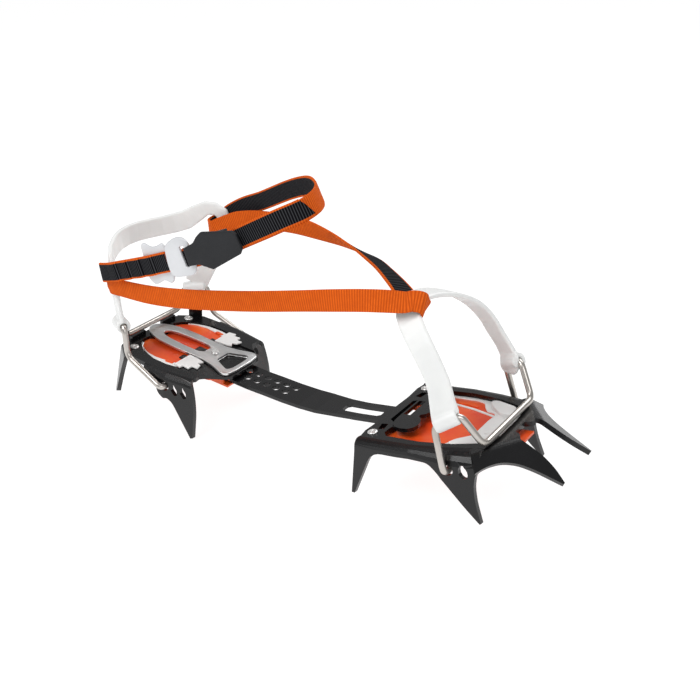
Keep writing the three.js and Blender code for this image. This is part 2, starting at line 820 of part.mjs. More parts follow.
const TOE_FOOT_NEAR = [
  [[98.4, -40.2, 63.4], [0.3, -0.92, 0.25], 16],
  [[96.4, -39.9, 70.6], [0.28, -0.92, 0.26], 14.4],
  [[93.4, -38.6, 80.2], [0.15, -0.93, 0.33], 13.6],
];
const TOE_FOOT_FAR = [
  [[87.8, 38.4, 80.2], [0.15, 0.93, 0.33], 12.8],
  [[93.6, 39.9, 70.6], [0.28, 0.92, 0.26], 13.6],
  [[97.6, 40.2, 63.4], [0.3, 0.92, 0.25], 15.6],
];
const TOE_LOOP = [
  ...TOE_FOOT_NEAR,
  [[86.0, -36.2, 91.0], [0.07, -0.9, 0.42], 13.6],
  [[75.4, -31.0, 101.6], [0.0, -0.8, 0.6], 14],
  [[66.2, -23.5, 109.4], [-0.1, -0.66, 0.75], 14.4],
  [[63.2, -13.5, 112.8], [-0.1, -0.4, 0.9], 14.6],
  [[65.0, -3.0, 113.2], [0, 0, 1], 14.4],
  [[69.0, 7.6, 110.9], [0.05, 0.3, 0.95], 13],
  [[73.6, 18.8, 106.0], [0.05, 0.55, 0.83], 11.8],
  [[79.2, 28.8, 98.2], [0.0, 0.8, 0.6], 11.8],
  [[84.4, 35.2, 88.6], [0.07, 0.9, 0.42], 12.2],
  ...TOE_FOOT_FAR,
];

// A harness is a flat band whose feet close round the humps of its bail with running clearance.
function harness(loop, hump, bail, setback, footR) {
  let solid = band(loop, HARNESS_T, 2, 0.8);
  for (const f of [(p) => p, flipY])
    solid = solid.add(rod(f(along(hump[0], hump[1], 0.06)), f(along(hump[0], hump[1], 0.94)), footR, 14));
  return solid.subtract(wire(bail, BORE_R, setback));
}
add(root, "toe_harness", harness(TOE_LOOP, TOE_HUMP, TOE_BAIL, 3.2, 4.9), MAT.elastomer);

// ---------------------------------------------------------------- heel bail and harness
const HEEL_HOLE = toWorld(HEEL_AT, -HEEL_PITCH, [40.6, 42.4, -8.6]);
const HEEL_BEND = [-140.5, 42.5, 43.2];
const HEEL_HUMP = [
  [-141.5, 41.0, 63.6],
  [-156.6, 32.0, 61.8],
];
const HEEL_CORNER = [-157.2, 27.2, 48.4];

const HEEL_BENDS = [HEEL_BEND, HEEL_HUMP[0], HEEL_HUMP[1], HEEL_CORNER];
const HEEL_BAIL = bailPath([HEEL_HOLE[0], 44.8, HEEL_HOLE[2]], HEEL_BENDS);
add(root, "heel_bail", wire(HEEL_BAIL, WIRE_R, 3.2), MAT.wire);

// The near post of the harness, where the strap goes through a slot: w along the post's width, n outwards.
const POST = { at: [-149.4, -37.0], w: [0.84, -0.54], n: [-0.54, -0.84] };
const post = (w, n, z) => [
  POST.at[0] + w * POST.w[0] + n * POST.n[0],
  POST.at[1] + w * POST.w[1] + n * POST.n[1],
  z,
];

const HEEL_LOOP = [
  [[-148.9, -36.6, 66.0], [-0.54, -0.84, 0], 17],
  [[-149.3, -36.9, 80.0], [-0.54, -0.84, 0], 17],
  [[-149.4, -37.0, 93.0], [-0.54, -0.84, 0], 17],
  [[-150.0, -36.6, 102.0], [-0.56, -0.82, 0.03], 16],
  [[-156.4, -28.8, 109.0], [-0.8, -0.6, 0.05], 13.5],
  [[-165.0, -12.0, 111.5], [-0.97, -0.2, 0.05], 14],
  [[-166.6, 6.0, 111.6], [-0.99, 0.12, 0.05], 14],
  [[-159.0, 22.0, 111.8], [-0.8, 0.6, 0.05], 14],
  [[-146.0, 33.4, 115.0], [-0.5, 0.86, 0.05], 14],
  [[-132.0, 39.4, 123.4], [-0.25, 0.97, 0.05], 10],
  [[-120.4, 42.0, 120.4], [-0.2, 0.98, 0.05], 10],
  [[-120.6, 41.8, 107.0], [-0.3, 0.95, 0.05], 11],
  [[-129.6, 40.0, 91.5], [-0.4, 0.91, 0.02], 13],
  [[-140.6, 37.6, 76.0], [-0.5, 0.86, 0.02], 15.5],
  [[-147.4, 36.8, 66.0], [-0.52, 0.85, 0], 17],
];

function heelHarness() {
  const solid = harness(HEEL_LOOP, HEEL_HUMP, HEEL_BAIL, 3.2, 4.8);
  const corners = [post(-1.6, -4, 0), post(4.8, -4, 0), post(4.8, 4, 0), post(-1.6, 4, 0)];
  return solid.subtract(plate(corners.map(([x, y]) => [x, y]), [], 100.2, 14.4));
}
add(root, "heel_harness", heelHarness(), MAT.elastomer);

// ---------------------------------------------------------------- strap
// Stations are [centre, orange face's outward normal, width]; the other face is black.
const W = STRAP_W;
const strip = (stations) => band(stations, STRAP_T, 3);

const STRAP_NEAR = [
  [post(-7.5, 2.9, 91.8), [-0.75, -0.66, 0.0], 12],
  [post(0, 3.2, 92.6), [-0.5, -0.86, -0.08], 12],
  [post(7.0, 4.0, 93.8), [-0.42, -0.9, -0.1], 12],
  [[-134.5, -46.4, 94.8], [-0.12, -0.99, -0.1], 12],
  [[-111.6, -46.6, 95.0], [0.0, -1, 0], 12.3],
  [[-90.4, -46.2, 96.4], [0.0, -1, 0], W],
  [[-65.9, -45.6, 99.5], [0.02, -1, 0], W],
  [[-42.9, -44.6, 103.0], [0.03, -1, 0], W],
  [[-21.3, -43.0, 106.4], [0.04, -1, 0], W],
  [[5.9, -40.5, 111.1], [0.05, -1, 0], W],
  [[25.0, -38.0, 114.2], [0.0, -0.98, 0.15], W],
  [[42.6, -34.5, 116.4], [0.0, -0.93, 0.3], W],
  [[55.9, -30.2, 117.0], [-0.03, -0.82, 0.5], W],
  [[64.2, -26.6, 116.8], [-0.05, -0.72, 0.65], W],
];
add(root, "strap_near", strip(STRAP_NEAR), MAT.webOrange);

const STRAP_TOE_TURN = [
  [[65.6, -26.0, 116.7], [-0.02, -0.7, 0.7], W],
  [[71.0, -23.6, 116.2], [0.16, -0.62, 0.76], W],
  [[77.2, -21.0, 113.2], [0.95, -0.05, 0.3], W],
  [[74.4, -16.4, 107.4], [0.25, 0.55, -0.8], W],
  [[67.0, -12.6, 106.6], [0.0, 0.4, -0.9], W],
  [[59.0, -7.2, 107.6], [-0.15, 0.3, -0.94], W],
];
add(root, "strap_toe_turn", strip(STRAP_TOE_TURN), MAT.webOrange);

const STRAP_FAR = [
  [[58.2, -6.6, 107.8], [-0.16, 0.28, -0.94], W],
  [[50.4, -1.2, 110.6], [-0.3, 0.1, -0.95], W],
  [[42.2, 3.4, 113.8], [-0.37, -0.02, -0.93], W],
  [[31.2, 8.8, 117.6], [-0.4, -0.16, -0.9], W],
  [[20.5, 13.4, 120.4], [-0.26, -0.27, -0.93], W],
  [[8.0, 18.5, 121.8], [-0.23, -0.49, -0.84], W],
  [[-2.0, 22.7, 122.2], [-0.26, -0.62, -0.73], W],
  [[-16.7, 28.0, 123.0], [-0.22, -0.79, -0.56], W],
  [[-40.1, 34.0, 123.7], [-0.12, -0.96, -0.24], W],
  [[-60.1, 36.7, 123.7], [-0.04, -0.99, -0.12], W],
  [[-83.6, 37.4, 122.4], [0, -1, 0.02], W],
  [[-100.6, 37.4, 119.6], [0, -1, 0.05], W],
  [[-110.0, 37.0, 116.4], [0.05, -1, 0.05], W],
  [[-116.0, 36.6, 113.8], [0.1, -1, 0.05], W],
];
add(root, "strap_far", strip(STRAP_FAR), MAT.webOrange);

const STRAP_HEEL_TURN = [
  [[-117.6, 36.4, 113.2], [0.08, -1, 0.05], 12.4],
  [[-124.8, 35.6, 110.4], [0.0, -1, 0], 11.6],
  [[-131.4, 40.4, 110.0], [-1, 0, 0], 11.4],
  [[-127.0, 46.4, 112.6], [0, 1, 0], 11.8],
  [[-119.0, 47.0, 118.2], [0.05, 1, 0], 12.4],
];
add(root, "strap_heel_turn", strip(STRAP_HEEL_TURN), MAT.webOrange);

const STRAP_ANKLE = [
  [[-117.8, 47.0, 119.0], [0.05, 1, 0], W],
  [[-112.0, 46.6, 122.4], [0.05, 1, 0], W],
  [[-100.5, 45.0, 128.0], [0.08, 1, 0], W],
  [[-83.0, 41.6, 134.8], [0.2, 0.97, 0.05], W],
  [[-54.0, 32.0, 147.9], [0.35, 0.92, 0.1], W],
  [[-35.1, 22.6, 155.4], [0.45, 0.87, 0.18], W],
  [[-19.9, 12.0, 160.3], [0.62, 0.72, 0.25], W],
  [[-6.8, 0.0, 162.8], [0.74, 0.58, 0.3], W],
  [[2.9, -12.0, 164.0], [0.88, 0.3, 0.35], W],
  [[8.6, -25.0, 164.2], [0.93, -0.2, 0.3], W],
  [[7.0, -36.6, 162.0], [0.7, -0.68, 0.2], W],
  [[-1.1, -43.4, 158.2], [0.4, -0.9, 0.1], W],
  [[-11.3, -46.6, 153.2], [0.2, -0.97, 0.05], W],
  [[-25.7, -48.0, 146.2], [0.07, -1, 0], W],
  [[-40.0, -48.5, 139.0], [0.03, -1, 0], W],
  [[-54.7, -48.6, 132.2], [0.0, -1, 0], W],
  [[-70.0, -48.6, 126.4], [0.0, -1, 0], W],
];
add(root, "strap_ankle", strip(STRAP_ANKLE), MAT.webOrange);

// The tail lies black side out on the ankle strap, and its tip is cut at a slant.
const STRAP_TAIL = [
  [[-70.0, -50.6, 126.4], [0.0, 1, 0], W - 0.4],
  [[-54.7, -50.6, 132.2], [0.0, 1, 0], W - 0.4],
  [[-40.0, -50.5, 139.2], [0.0, 1, 0], W - 0.4],
  [[-25.0, -50.1, 147.0], [-0.1, 1, 0], W - 0.4],
  [[-10.4, -48.8, 154.4], [-0.22, 0.97, -0.05], W - 0.4],
  [[0.4, -45.6, 159.8], [-0.42, 0.9, -0.1], W - 0.4],
  [[9.0, -38.4, 163.8], [-0.72, 0.66, -0.2], W - 0.4],
  [[12.6, -30.0, 166.4], [-0.9, 0.3, -0.28], W - 0.4],
];
function strapTail() {
  const cut = Manifold.cube([30, 60, 40]).translate([0, -30, -20]).rotate([0, 38, 40]);
  return strip(STRAP_TAIL).subtract(cut.translate([8.4, -34, 163]));
}
add(root, "strap_tail", strapTail(), MAT.webBlack);

// From the near run round the rear bar of the post, back through its slot, to lie under the near run.
const STRAP_POST_TURN = [
  [post(-9.4, 2.3, 92.4), [-0.9, -0.4, 0.0], 12.6],
  [post(-11.2, -0.4, 92.4), [-0.84, 0.54, 0], 12.4],
  [post(-7.6, -3.3, 92.4), [0.54, 0.84, 0], 12.4],
  [post(-1.0, -3.2, 92.4), [0.54, 0.84, 0], 12.4],
  [post(3.0, -0.7, 92.4), [0.95, 0.2, 0], 12.4],
];
add(root, "strap_post_turn", strip(STRAP_POST_TURN), MAT.webOrange);

// Short length with folded, sewn steps, black side out, from the post to the buckle.
const STRAP_FIXED = [
  [post(-5.6, 5.4, 99.4), [0.7, 0.7, 0], W],
  [post(-1.0, 6.0, 100.6), [0.54, 0.84, 0], W],
  [post(6.4, 7.0, 102.8), [0.4, 0.9, 0], W],
  [[-137.0, -48.9, 105.8], [0.1, 1, 0], W],
  [[-121.0, -50.2, 110.8], [0, 1, 0], W],
  [[-103.0, -50.3, 116.2], [0, 1, 0], W],
  [[-84.0, -50.3, 122.4], [0, 1, 0], W],
];
add(root, "strap_fixed", strip(STRAP_FIXED), MAT.webBlack);

// ---------------------------------------------------------------- buckle and keeper
// An upright plate: outline in x, z; its outer face at y = -outer.
const upright = (outline, holes, outer, thick) => plate(outline, holes, outer, thick).rotate([90, 0, 0]);

const BUTTERFLY = [
  [-107, 128.4],
  [-105, 130.6],
  [-98, 128.6],
  [-93, 130.6],
  [-89, 133],
  [-87, 131],
  [-81.4, 112],
  [-84.0, 107.6],
  [-90, 109.2],
  [-94, 106.6],
  [-98, 104.4],
  [-102.8, 107],
];
add(root, "buckle_slider", upright(BUTTERFLY, [], 49.1, 1.6), MAT.alloy);

const BUCKLE = [
  [-83.0, 133.0],
  [-79.0, 136.8],
  [-73.7, 140.2],
  [-68.1, 141.0],
  [-64.0, 139.0],
  [-58.6, 123.4],
  [-60.8, 119.0],
  [-75.4, 114.8],
  [-79.6, 116.0],
  [-81.6, 122.0],
];
const BUCKLE_SLOT = [[-71.0, 134.6], [-67.4, 136.0], [-63.4, 123.8], [-66.4, 122.8]];
add(root, "buckle_plate", upright(BUCKLE, [BUCKLE_SLOT], 53.2, 1.7), MAT.alloy);

const KEEPER = [
  [-65.4, 135.4],
  [-57.3, 139.9],
  [-54.2, 144.2],
  [-50.5, 147.6],
  [-27.4, 151.8],
  [-24.0, 150.6],
  [-20.6, 142.4],
  [-22.4, 138.9],
  [-43.2, 126.4],
  [-54.0, 127.5],
  [-62.0, 125.0],
];
function strapKeeper() {
  const sleeve = [[-53, 143.6], [-39, 148.8], [-35, 138.4], [-36, 131.8], [-43.6, 127.6], [-52, 128.4]];
  const block = upright(sleeve, [], 53.6, 8.4);
  const room = (stations) => band(stations.map(([p, n]) => [p, n, W + 0.8]), 2.5, 3);
  const solid = upright(KEEPER, [], 55.6, 2.1).add(block);
  return solid.subtract(room(STRAP_ANKLE)).subtract(room(STRAP_TAIL));
}
add(root, "strap_keeper", strapKeeper(), MAT.rubber);

// The part's origin: the middle of its bounding box in plan, on the ground.
const bounds = new THREE.Box3().setFromObject(root, true);
const middle = bounds.getCenter(V(0, 0, 0));
root.position.set(-middle.x, -middle.y, -bounds.min.z);

export default root;
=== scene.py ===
"""Crampon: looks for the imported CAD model. Lengths are in metres in the row frame unless a name says MM."""
import math

import bmesh
import bpy
import numpy as np
from mathutils import Matrix, Vector


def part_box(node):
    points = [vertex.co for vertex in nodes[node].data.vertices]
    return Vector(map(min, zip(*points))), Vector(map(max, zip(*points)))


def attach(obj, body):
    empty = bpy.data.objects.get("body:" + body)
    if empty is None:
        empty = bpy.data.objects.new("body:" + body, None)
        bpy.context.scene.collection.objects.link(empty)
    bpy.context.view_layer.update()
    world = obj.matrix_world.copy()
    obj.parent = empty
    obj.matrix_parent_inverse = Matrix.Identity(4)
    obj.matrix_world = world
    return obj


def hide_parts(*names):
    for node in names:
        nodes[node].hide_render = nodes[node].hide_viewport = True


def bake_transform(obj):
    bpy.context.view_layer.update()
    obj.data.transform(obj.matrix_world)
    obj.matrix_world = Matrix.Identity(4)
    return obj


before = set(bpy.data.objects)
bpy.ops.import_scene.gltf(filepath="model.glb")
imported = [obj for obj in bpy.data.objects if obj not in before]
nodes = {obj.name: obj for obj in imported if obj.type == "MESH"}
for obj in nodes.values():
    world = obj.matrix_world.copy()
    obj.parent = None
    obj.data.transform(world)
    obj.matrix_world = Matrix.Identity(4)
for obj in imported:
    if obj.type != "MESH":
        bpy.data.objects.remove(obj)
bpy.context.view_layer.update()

MM = 0.001
# The design's working frame, in millimetres, sits at this offset in the row frame.
ORIGIN_MM = np.array([5.979, 3.762, 6.894])


def row(p):
    """A point of the design's working frame, in millimetres, as metres in the row frame."""
    return (np.array(p, float) + ORIGIN_MM) * MM


# ---------------------------------------------------------------- camera, floor and light
CAMERA_AT_MM = (326.63, -451.30, 327.68)
CAMERA_RIGHT = (0.82984, 0.55627, -0.04396)
CAMERA_UP = (-0.20726, 0.38041, 0.90130)
CAMERA_BACK = (0.51808, -0.73882, 0.43097)
LENS_MM = 51.52


def make_camera():
    data = bpy.data.cameras.new("camera")
    data.lens = LENS_MM
    data.sensor_width = 36.0
    data.clip_start = 0.01
    data.clip_end = 20.0
    camera = bpy.data.objects.new("camera", data)
    bpy.context.scene.collection.objects.link(camera)
    axes = Matrix([CAMERA_RIGHT, CAMERA_UP, CAMERA_BACK]).transposed().to_4x4()
    camera.matrix_world = Matrix.Translation(Vector(row(CAMERA_AT_MM))) @ axes
    bpy.context.scene.camera = camera


def area_light(name, at, target, size, power):
    data = bpy.data.lights.new(name, "AREA")
    data.shape = "DISK"
    data.size = size
    data.energy = power
    lamp = bpy.data.objects.new(name, data)
    bpy.context.scene.collection.objects.link(lamp)
    lamp.location = at
    lamp.rotation_euler = (Vector(target) - Vector(at)).to_track_quat("-Z", "Y").to_euler()


WORLD_STRENGTH = 0.36
FLOOR_SIZE = 14.0
FLOOR_DROP = 0.0005
FLOOR_GREY = 0.24
FLOOR_GLOW = 0.9  # most of the floor's brightness is its own, so shadows stay faint
LAMPS = [
    # name, place, height that it points at, size, power
    ("key", (-0.35, -0.75, 1.15), 0.05, 0.8, 10.5),
    ("fill", (0.9, -0.55, 0.75), 0.05, 0.7, 3.4),
    ("back", (0.1, 0.9, 0.9), 0.06, 0.7, 5.5),
]


def make_stage():
    world = bpy.data.worlds.new("studio")
    bpy.context.scene.world = world
    world.use_nodes = True
    background = world.node_tree.nodes["Background"]
    background.inputs["Color"].default_value = (1, 1, 1, 1)
    background.inputs["Strength"].default_value = WORLD_STRENGTH
    bpy.ops.mesh.primitive_plane_add(size=FLOOR_SIZE, location=(0, 0, -FLOOR_DROP))
    floor = bpy.context.object
    floor.name = "floor"
    material = bpy.data.materials.new("floor")
    material.use_nodes = True
    shader = material.node_tree.nodes["Principled BSDF"]
    shader.inputs["Base Color"].default_value = (FLOOR_GREY, FLOOR_GREY, FLOOR_GREY, 1)
    shader.inputs["Emission Color"].default_value = (1, 1, 1, 1)
    shader.inputs["Emission Strength"].default_value = FLOOR_GLOW
    shader.inputs["Roughness"].default_value = 0.9
    shader.inputs["Specular IOR Level"].default_value = 0.1
    floor.data.materials.append(material)
    for name, at, aim, size, power in LAMPS:
        area_light(name, at, (0, 0, aim), size, power)
    view = bpy.context.scene.view_settings
    view.view_transform = "Standard"
    view.look = "None"


make_camera()
make_stage()


# ---------------------------------------------------------------- materials
def new_material(name):
    material = bpy.data.materials.new(name)
    material.use_nodes = True
    tree = material.node_tree
    return material, tree, tree.nodes["Principled BSDF"]


SOCKETS = {
    "metallic": "Metallic",
    "roughness": "Roughness",
    "specular": "Specular IOR Level",
    "coat": "Coat Weight",
    "coat_roughness": "Coat Roughness",
    "subsurface": "Subsurface Weight",
    "subsurface_scale": "Subsurface Scale",
}


def set_values(shader, **values):
    """Constants on the shader's own sockets. All colours scatter equally far, so soft white stays neutral."""
    shader.inputs["Subsurface Radius"].default_value = (1, 1, 1)
    for key, value in values.items():
        shader.inputs[SOCKETS[key]].default_value = value


def node(tree, kind, **inputs):
    made = tree.nodes.new(kind)
    for key, value in inputs.items():
        made.inputs[key].default_value = value
    return made


def object_coordinates(tree, scale=(1, 1, 1)):
    coordinates = tree.nodes.new("ShaderNodeTexCoord")
    mapping = tree.nodes.new("ShaderNodeMapping")
    mapping.inputs["Scale"].default_value = scale
    tree.links.new(coordinates.outputs["Object"], mapping.inputs["Vector"])
    return mapping.outputs["Vector"]


def noise(tree, vector, scale, detail=3.0):
    made = node(tree, "ShaderNodeTexNoise", Scale=scale, Detail=detail)
    tree.links.new(vector, made.inputs["Vector"])
    return made.outputs["Fac"]


def map_range(tree, value, low, high, to_low, to_high):
    made = tree.nodes.new("ShaderNodeMapRange")
    limits = {"From Min": low, "From Max": high, "To Min": to_low, "To Max": to_high}
    for key, number in limits.items():
        made.inputs[key].default_value = number
    tree.links.new(value, made.inputs["Value"])
    return made.outputs["Result"]


def mix_color(tree, factor, a, b):
    made = tree.nodes.new("ShaderNodeMix")
    made.data_type = "RGBA"
    for key, value in (("A", a), ("B", b)):
        socket = [s for s in made.inputs if s.name == key and s.type == "RGBA"][0]
        if hasattr(value, "is_output"):
            tree.links.new(value, socket)
        else:
            socket.default_value = (*value, 1)
    tree.links.new(factor, made.inputs[0])
    return [s for s in made.outputs if s.type == "RGBA"][0]


def bump(tree, shader, height, distance, strength=1.0):
    made = node(tree, "ShaderNodeBump", Strength=strength, Distance=distance)
    tree.links.new(height, made.inputs["Height"])
    previous = shader.inputs["Normal"].links
    if previous:
        tree.links.new(previous[0].from_socket, made.inputs["Normal"])
    tree.links.new(made.outputs["Normal"], shader.inputs["Normal"])


BROAD_SCALE = 45.0  # noise per metre of the slow change of colour
NOISE_LOW, NOISE_HIGH = 0.3, 0.7  # most of a noise lies between these
GRAIN_STRENGTH = 0.6


def surface(name, color, other, rough, grain, height, stretch=(1, 1, 1), **values):
    """A plain material with mottled colour, uneven roughness and a fine grain.
    rough is (low, high); grain is the noise scale per metre; height the grain's bump in metres."""
    material, tree, shader = new_material(name)
    set_values(shader, **values)
    vector = object_coordinates(tree, stretch)
    broad = map_range(tree, noise(tree, vector, BROAD_SCALE), NOISE_LOW, NOISE_HIGH, 0, 1)
    fine = noise(tree, vector, grain, 4.0)
    tree.links.new(mix_color(tree, broad, color, other), shader.inputs["Base Color"])
    tree.links.new(map_range(tree, fine, NOISE_LOW, NOISE_HIGH, *rough), shader.inputs["Roughness"])
    bump(tree, shader, fine, height, GRAIN_STRENGTH)
    return material


def look(slot, *args, **values):
    """A material named after a slot, and that slot's name."""
    return surface(slot, *args, **values), slot


STEEL = look(
    "black_steel", (0.0015, 0.0015, 0.002), (0.003, 0.003, 0.004), (0.24, 0.28),
    400, 0.000003, specular=0.4, coat=0.15, coat_roughness=0.15,
)
WIRE = look(
    "bail_wire", (0.50, 0.47, 0.43), (0.60, 0.57, 0.54), (0.28, 0.36),
    300, 0.000002, metallic=1.0,
)
LEVER_METAL = look(
    "lever_steel", (0.74, 0.74, 0.74), (0.84, 0.84, 0.84), (0.28, 0.40),
    260, 0.00001, (1, 9, 9), metallic=1.0,
)
RIVETS = look(
    "rivet_steel", (0.82, 0.82, 0.81), (0.9, 0.9, 0.89), (0.22, 0.32),
    700, 0.000005, metallic=0.7,
)
WHITE = look(
    "white_plastic", (0.84, 0.84, 0.83), (0.90, 0.90, 0.89), (0.3, 0.4),
    600, 0.00001, subsurface=0.08,
)
ORANGE = look(
    "orange_plastic", (0.86, 0.13, 0.014), (0.74, 0.045, 0.008), (0.3, 0.38),
    300, 0.00001, coat=0.12,
)
SOFT_WHITE = look(
    "elastomer", (0.74, 0.75, 0.745), (0.81, 0.82, 0.81), (0.34, 0.46),
    400, 0.00001, subsurface=0.35, subsurface_scale=0.004,
)
ALLOY = look(
    "buckle_alloy", (0.60, 0.61, 0.63), (0.70, 0.71, 0.73), (0.38, 0.46),
    300, 0.000002, metallic=0.25,
)
RUBBER = look(
    "keeper_rubber", (0.006, 0.007, 0.009), (0.011, 0.012, 0.015), (0.45, 0.6),
    1500, 0.00003, specular=0.3,
)

ORANGE_YARN = (0.80, 0.142, 0.012)
# The deeper orange below is painted shade in the grooves between ribs, and also a random wear tone.
ORANGE_SHADE_AND_WEAR = (0.50, 0.068, 0.006)
BLACK_YARN = (0.002, 0.002, 0.003)
# The lighter black below is a painted highlight on the rib crests of the black face.
BLACK_CREST_HIGHLIGHT = (0.055, 0.056, 0.062)
RIB_PITCH = 0.0015  # one crosswise rib of the webbing
YARNS = 7  # lengthwise yarns on each half of the width
YARN_SHARE = 0.18  # their height against a rib's
RIB_HEIGHT = 0.00018
RIB_STRENGTH = 0.85
WEAR_SCALE = 260.0
EDGE_BLUR = 0.02
EDGE_SHARE = 0.83  # share of the half width where the black face's orange selvedge starts


def attribute(tree, name):
    made = tree.nodes.new("ShaderNodeAttribute")
    made.attribute_name = name
    return made.outputs["Fac"]


def math_node(tree, operation, *values):
    made = tree.nodes.new("ShaderNodeMath")
    made.operation = operation
    for index, value in enumerate(values):
        if hasattr(value, "is_output"):
            tree.links.new(value, made.inputs[index])
        else:
            made.inputs[index].default_value = value
    return made.outputs[0]


def webbing_material():
    """Ribbed webbing, from a strap's attributes: along, in metres from its start; across, -1 to 1;
    side, 1 for the orange face and 0 for the black one."""
    material, tree, shader = new_material("webbing")
    set_values(shader, specular=0.08, roughness=0.85)
    along = attribute(tree, "along")
    across = attribute(tree, "across")
    side = attribute(tree, "side")
    edge = math_node(tree, "ABSOLUTE", across)
    rib = math_node(tree, "SINE", math_node(tree, "MULTIPLY", along, 2 * math.pi / RIB_PITCH))
    rib = map_range(tree, rib, -1, 1, 0, 1)
    yarn = math_node(tree, "SINE", math_node(tree, "MULTIPLY", across, 2 * math.pi * YARNS))
    yarn = map_range(tree, yarn, -1, 1, 0, 1)
    wear = noise(tree, object_coordinates(tree), WEAR_SCALE, 4.0)
    # Painted shade: the orange face is darker in the grooves between ribs, where the bump is lowest.
    orange = mix_color(tree, rib, ORANGE_SHADE_AND_WEAR, ORANGE_YARN)
    orange = mix_color(tree, map_range(tree, wear, 0.35, 0.65, 0, 0.35), orange, ORANGE_SHADE_AND_WEAR)
    # Painted highlight: the black face is lighter on its rib crests.
    black = mix_color(tree, math_node(tree, "POWER", rib, 4.0), BLACK_YARN, BLACK_CREST_HIGHLIGHT)
    selvedge = map_range(tree, edge, EDGE_SHARE - EDGE_BLUR, EDGE_SHARE + EDGE_BLUR, 0, 1)
    is_orange = math_node(tree, "MAXIMUM", side, selvedge)
    tree.links.new(mix_color(tree, is_orange, black, orange), shader.inputs["Base Color"])
    weave = math_node(tree, "ADD", rib, math_node(tree, "MULTIPLY", yarn, YARN_SHARE))
    bump(tree, shader, weave, RIB_HEIGHT, RIB_STRENGTH)
    return material


WEBBING = webbing_material()


# ---------------------------------------------------------------- mesh helpers
def link(name, mesh, finish):
    material, slot = finish
    obj = bpy.data.objects.new(name, mesh)
    bpy.context.scene.collection.objects.link(obj)
    obj.data.materials.clear()
    obj.data.materials.append(material)
    return obj


def smooth(obj, angle=35.0):
    for polygon in obj.data.polygons:
        polygon.use_smooth = True
    obj.data.set_sharp_from_angle(angle=math.radians(angle))


def apply_modifiers(obj):
    graph = bpy.context.evaluated_depsgraph_get()
    mesh = bpy.data.meshes.new_from_object(obj.evaluated_get(graph))
    obj.modifiers.clear()
    old = obj.data
    obj.data = mesh
    bpy.data.meshes.remove(old)


def bevelled(name, material, width, segments=2, angle=40.0):
    """A CAD node keeps its shape and gets fine rounded edges and a material."""
    obj = nodes[name]
    modifier = obj.modifiers.new("edges", "BEVEL")
    modifier.width = width
    modifier.segments = segments
    modifier.limit_method = "ANGLE"
    modifier.angle_limit = math.radians(angle)
    modifier.harden_normals = True
    obj.data.materials.clear()
    obj.data.materials.append(material)
    smooth(obj, 60)
    return obj


def spline_at(points, t):
    """Catmull-Rom curve through the points, read at the parameters t; point i is at t = i."""
    p = np.array(points, float)
    p = np.vstack([2 * p[0] - p[1], p, 2 * p[-1] - p[-2]])
    i = np.clip(t.astype(int), 0, len(p) - 4)
    f = (t - i)[:, None]
    a, b, c, d = p[i], p[i + 1], p[i + 2], p[i + 3]
    curve = (2 * a - 5 * b + 4 * c - d) * f**2
    return 0.5 * (2 * b + (c - a) * f + curve + (3 * b - a - 3 * c + d) * f**3)


def spline(points, count):
    return spline_at(points, np.linspace(0, len(points) - 1, count))


def unit(v):
    return v / np.linalg.norm(v, axis=-1, keepdims=True)


STRAP_THICK = 1.6


class Path:
    """Stations [centre, normal, width] in working millimetres, read evenly along their length."""

    def __init__(self, stations):
        self.stations = stations
        rows = 40 * (len(stations) - 1) + 1
        self.at = np.linspace(0, len(stations) - 1, rows)
        coarse = spline([s[0] for s in stations], rows)
        steps = np.linalg.norm(np.diff(coarse, axis=0), axis=1)
        self.length = np.concatenate([[0], np.cumsum(steps)])

    def where(self, station):
        return float(np.interp(station, self.at, self.length))

    def read(self, begin, end, step=0.8):
        """Centres, across vectors, normals, widths and lengths in metres from one length to another."""
        count = max(6, int((end - begin) / step))
        t = np.interp(np.linspace(begin, end, count), self.length, self.at)
        small = 1e-3
        points = [s[0] for s in self.stations]
        centre = spline_at(points, t)
        ahead = spline_at(points, np.clip(t + small, 0, self.at[-1]))
        behind = spline_at(points, np.clip(t - small, 0, self.at[-1]))
        tangent = unit(ahead - behind)
        normal = spline_at([s[1] for s in self.stations], t)
        normal = unit(normal - tangent * (normal * tangent).sum(1, keepdims=True))
        width = spline_at([[s[2]] for s in self.stations], t)[:, 0]
        across = np.cross(tangent, normal)
        return (centre + ORIGIN_MM) * MM, across, normal, width * MM, np.linspace(begin, end, count) * MM


EDGE_THINNING = 0.35


def profile(thickness, columns):
    """Closed cross section as rows of (across from -1 to 1, out in metres, side), thinner at its edges."""
    half = thickness / 2
    top = [(x, half * (1 - EDGE_THINNING * abs(x) ** 14)) for x in np.linspace(-1, 1, columns)]
    return [(x, h, 1.0) for x, h in top] + [(x, -h, 0.0) for x, h in reversed(top)]


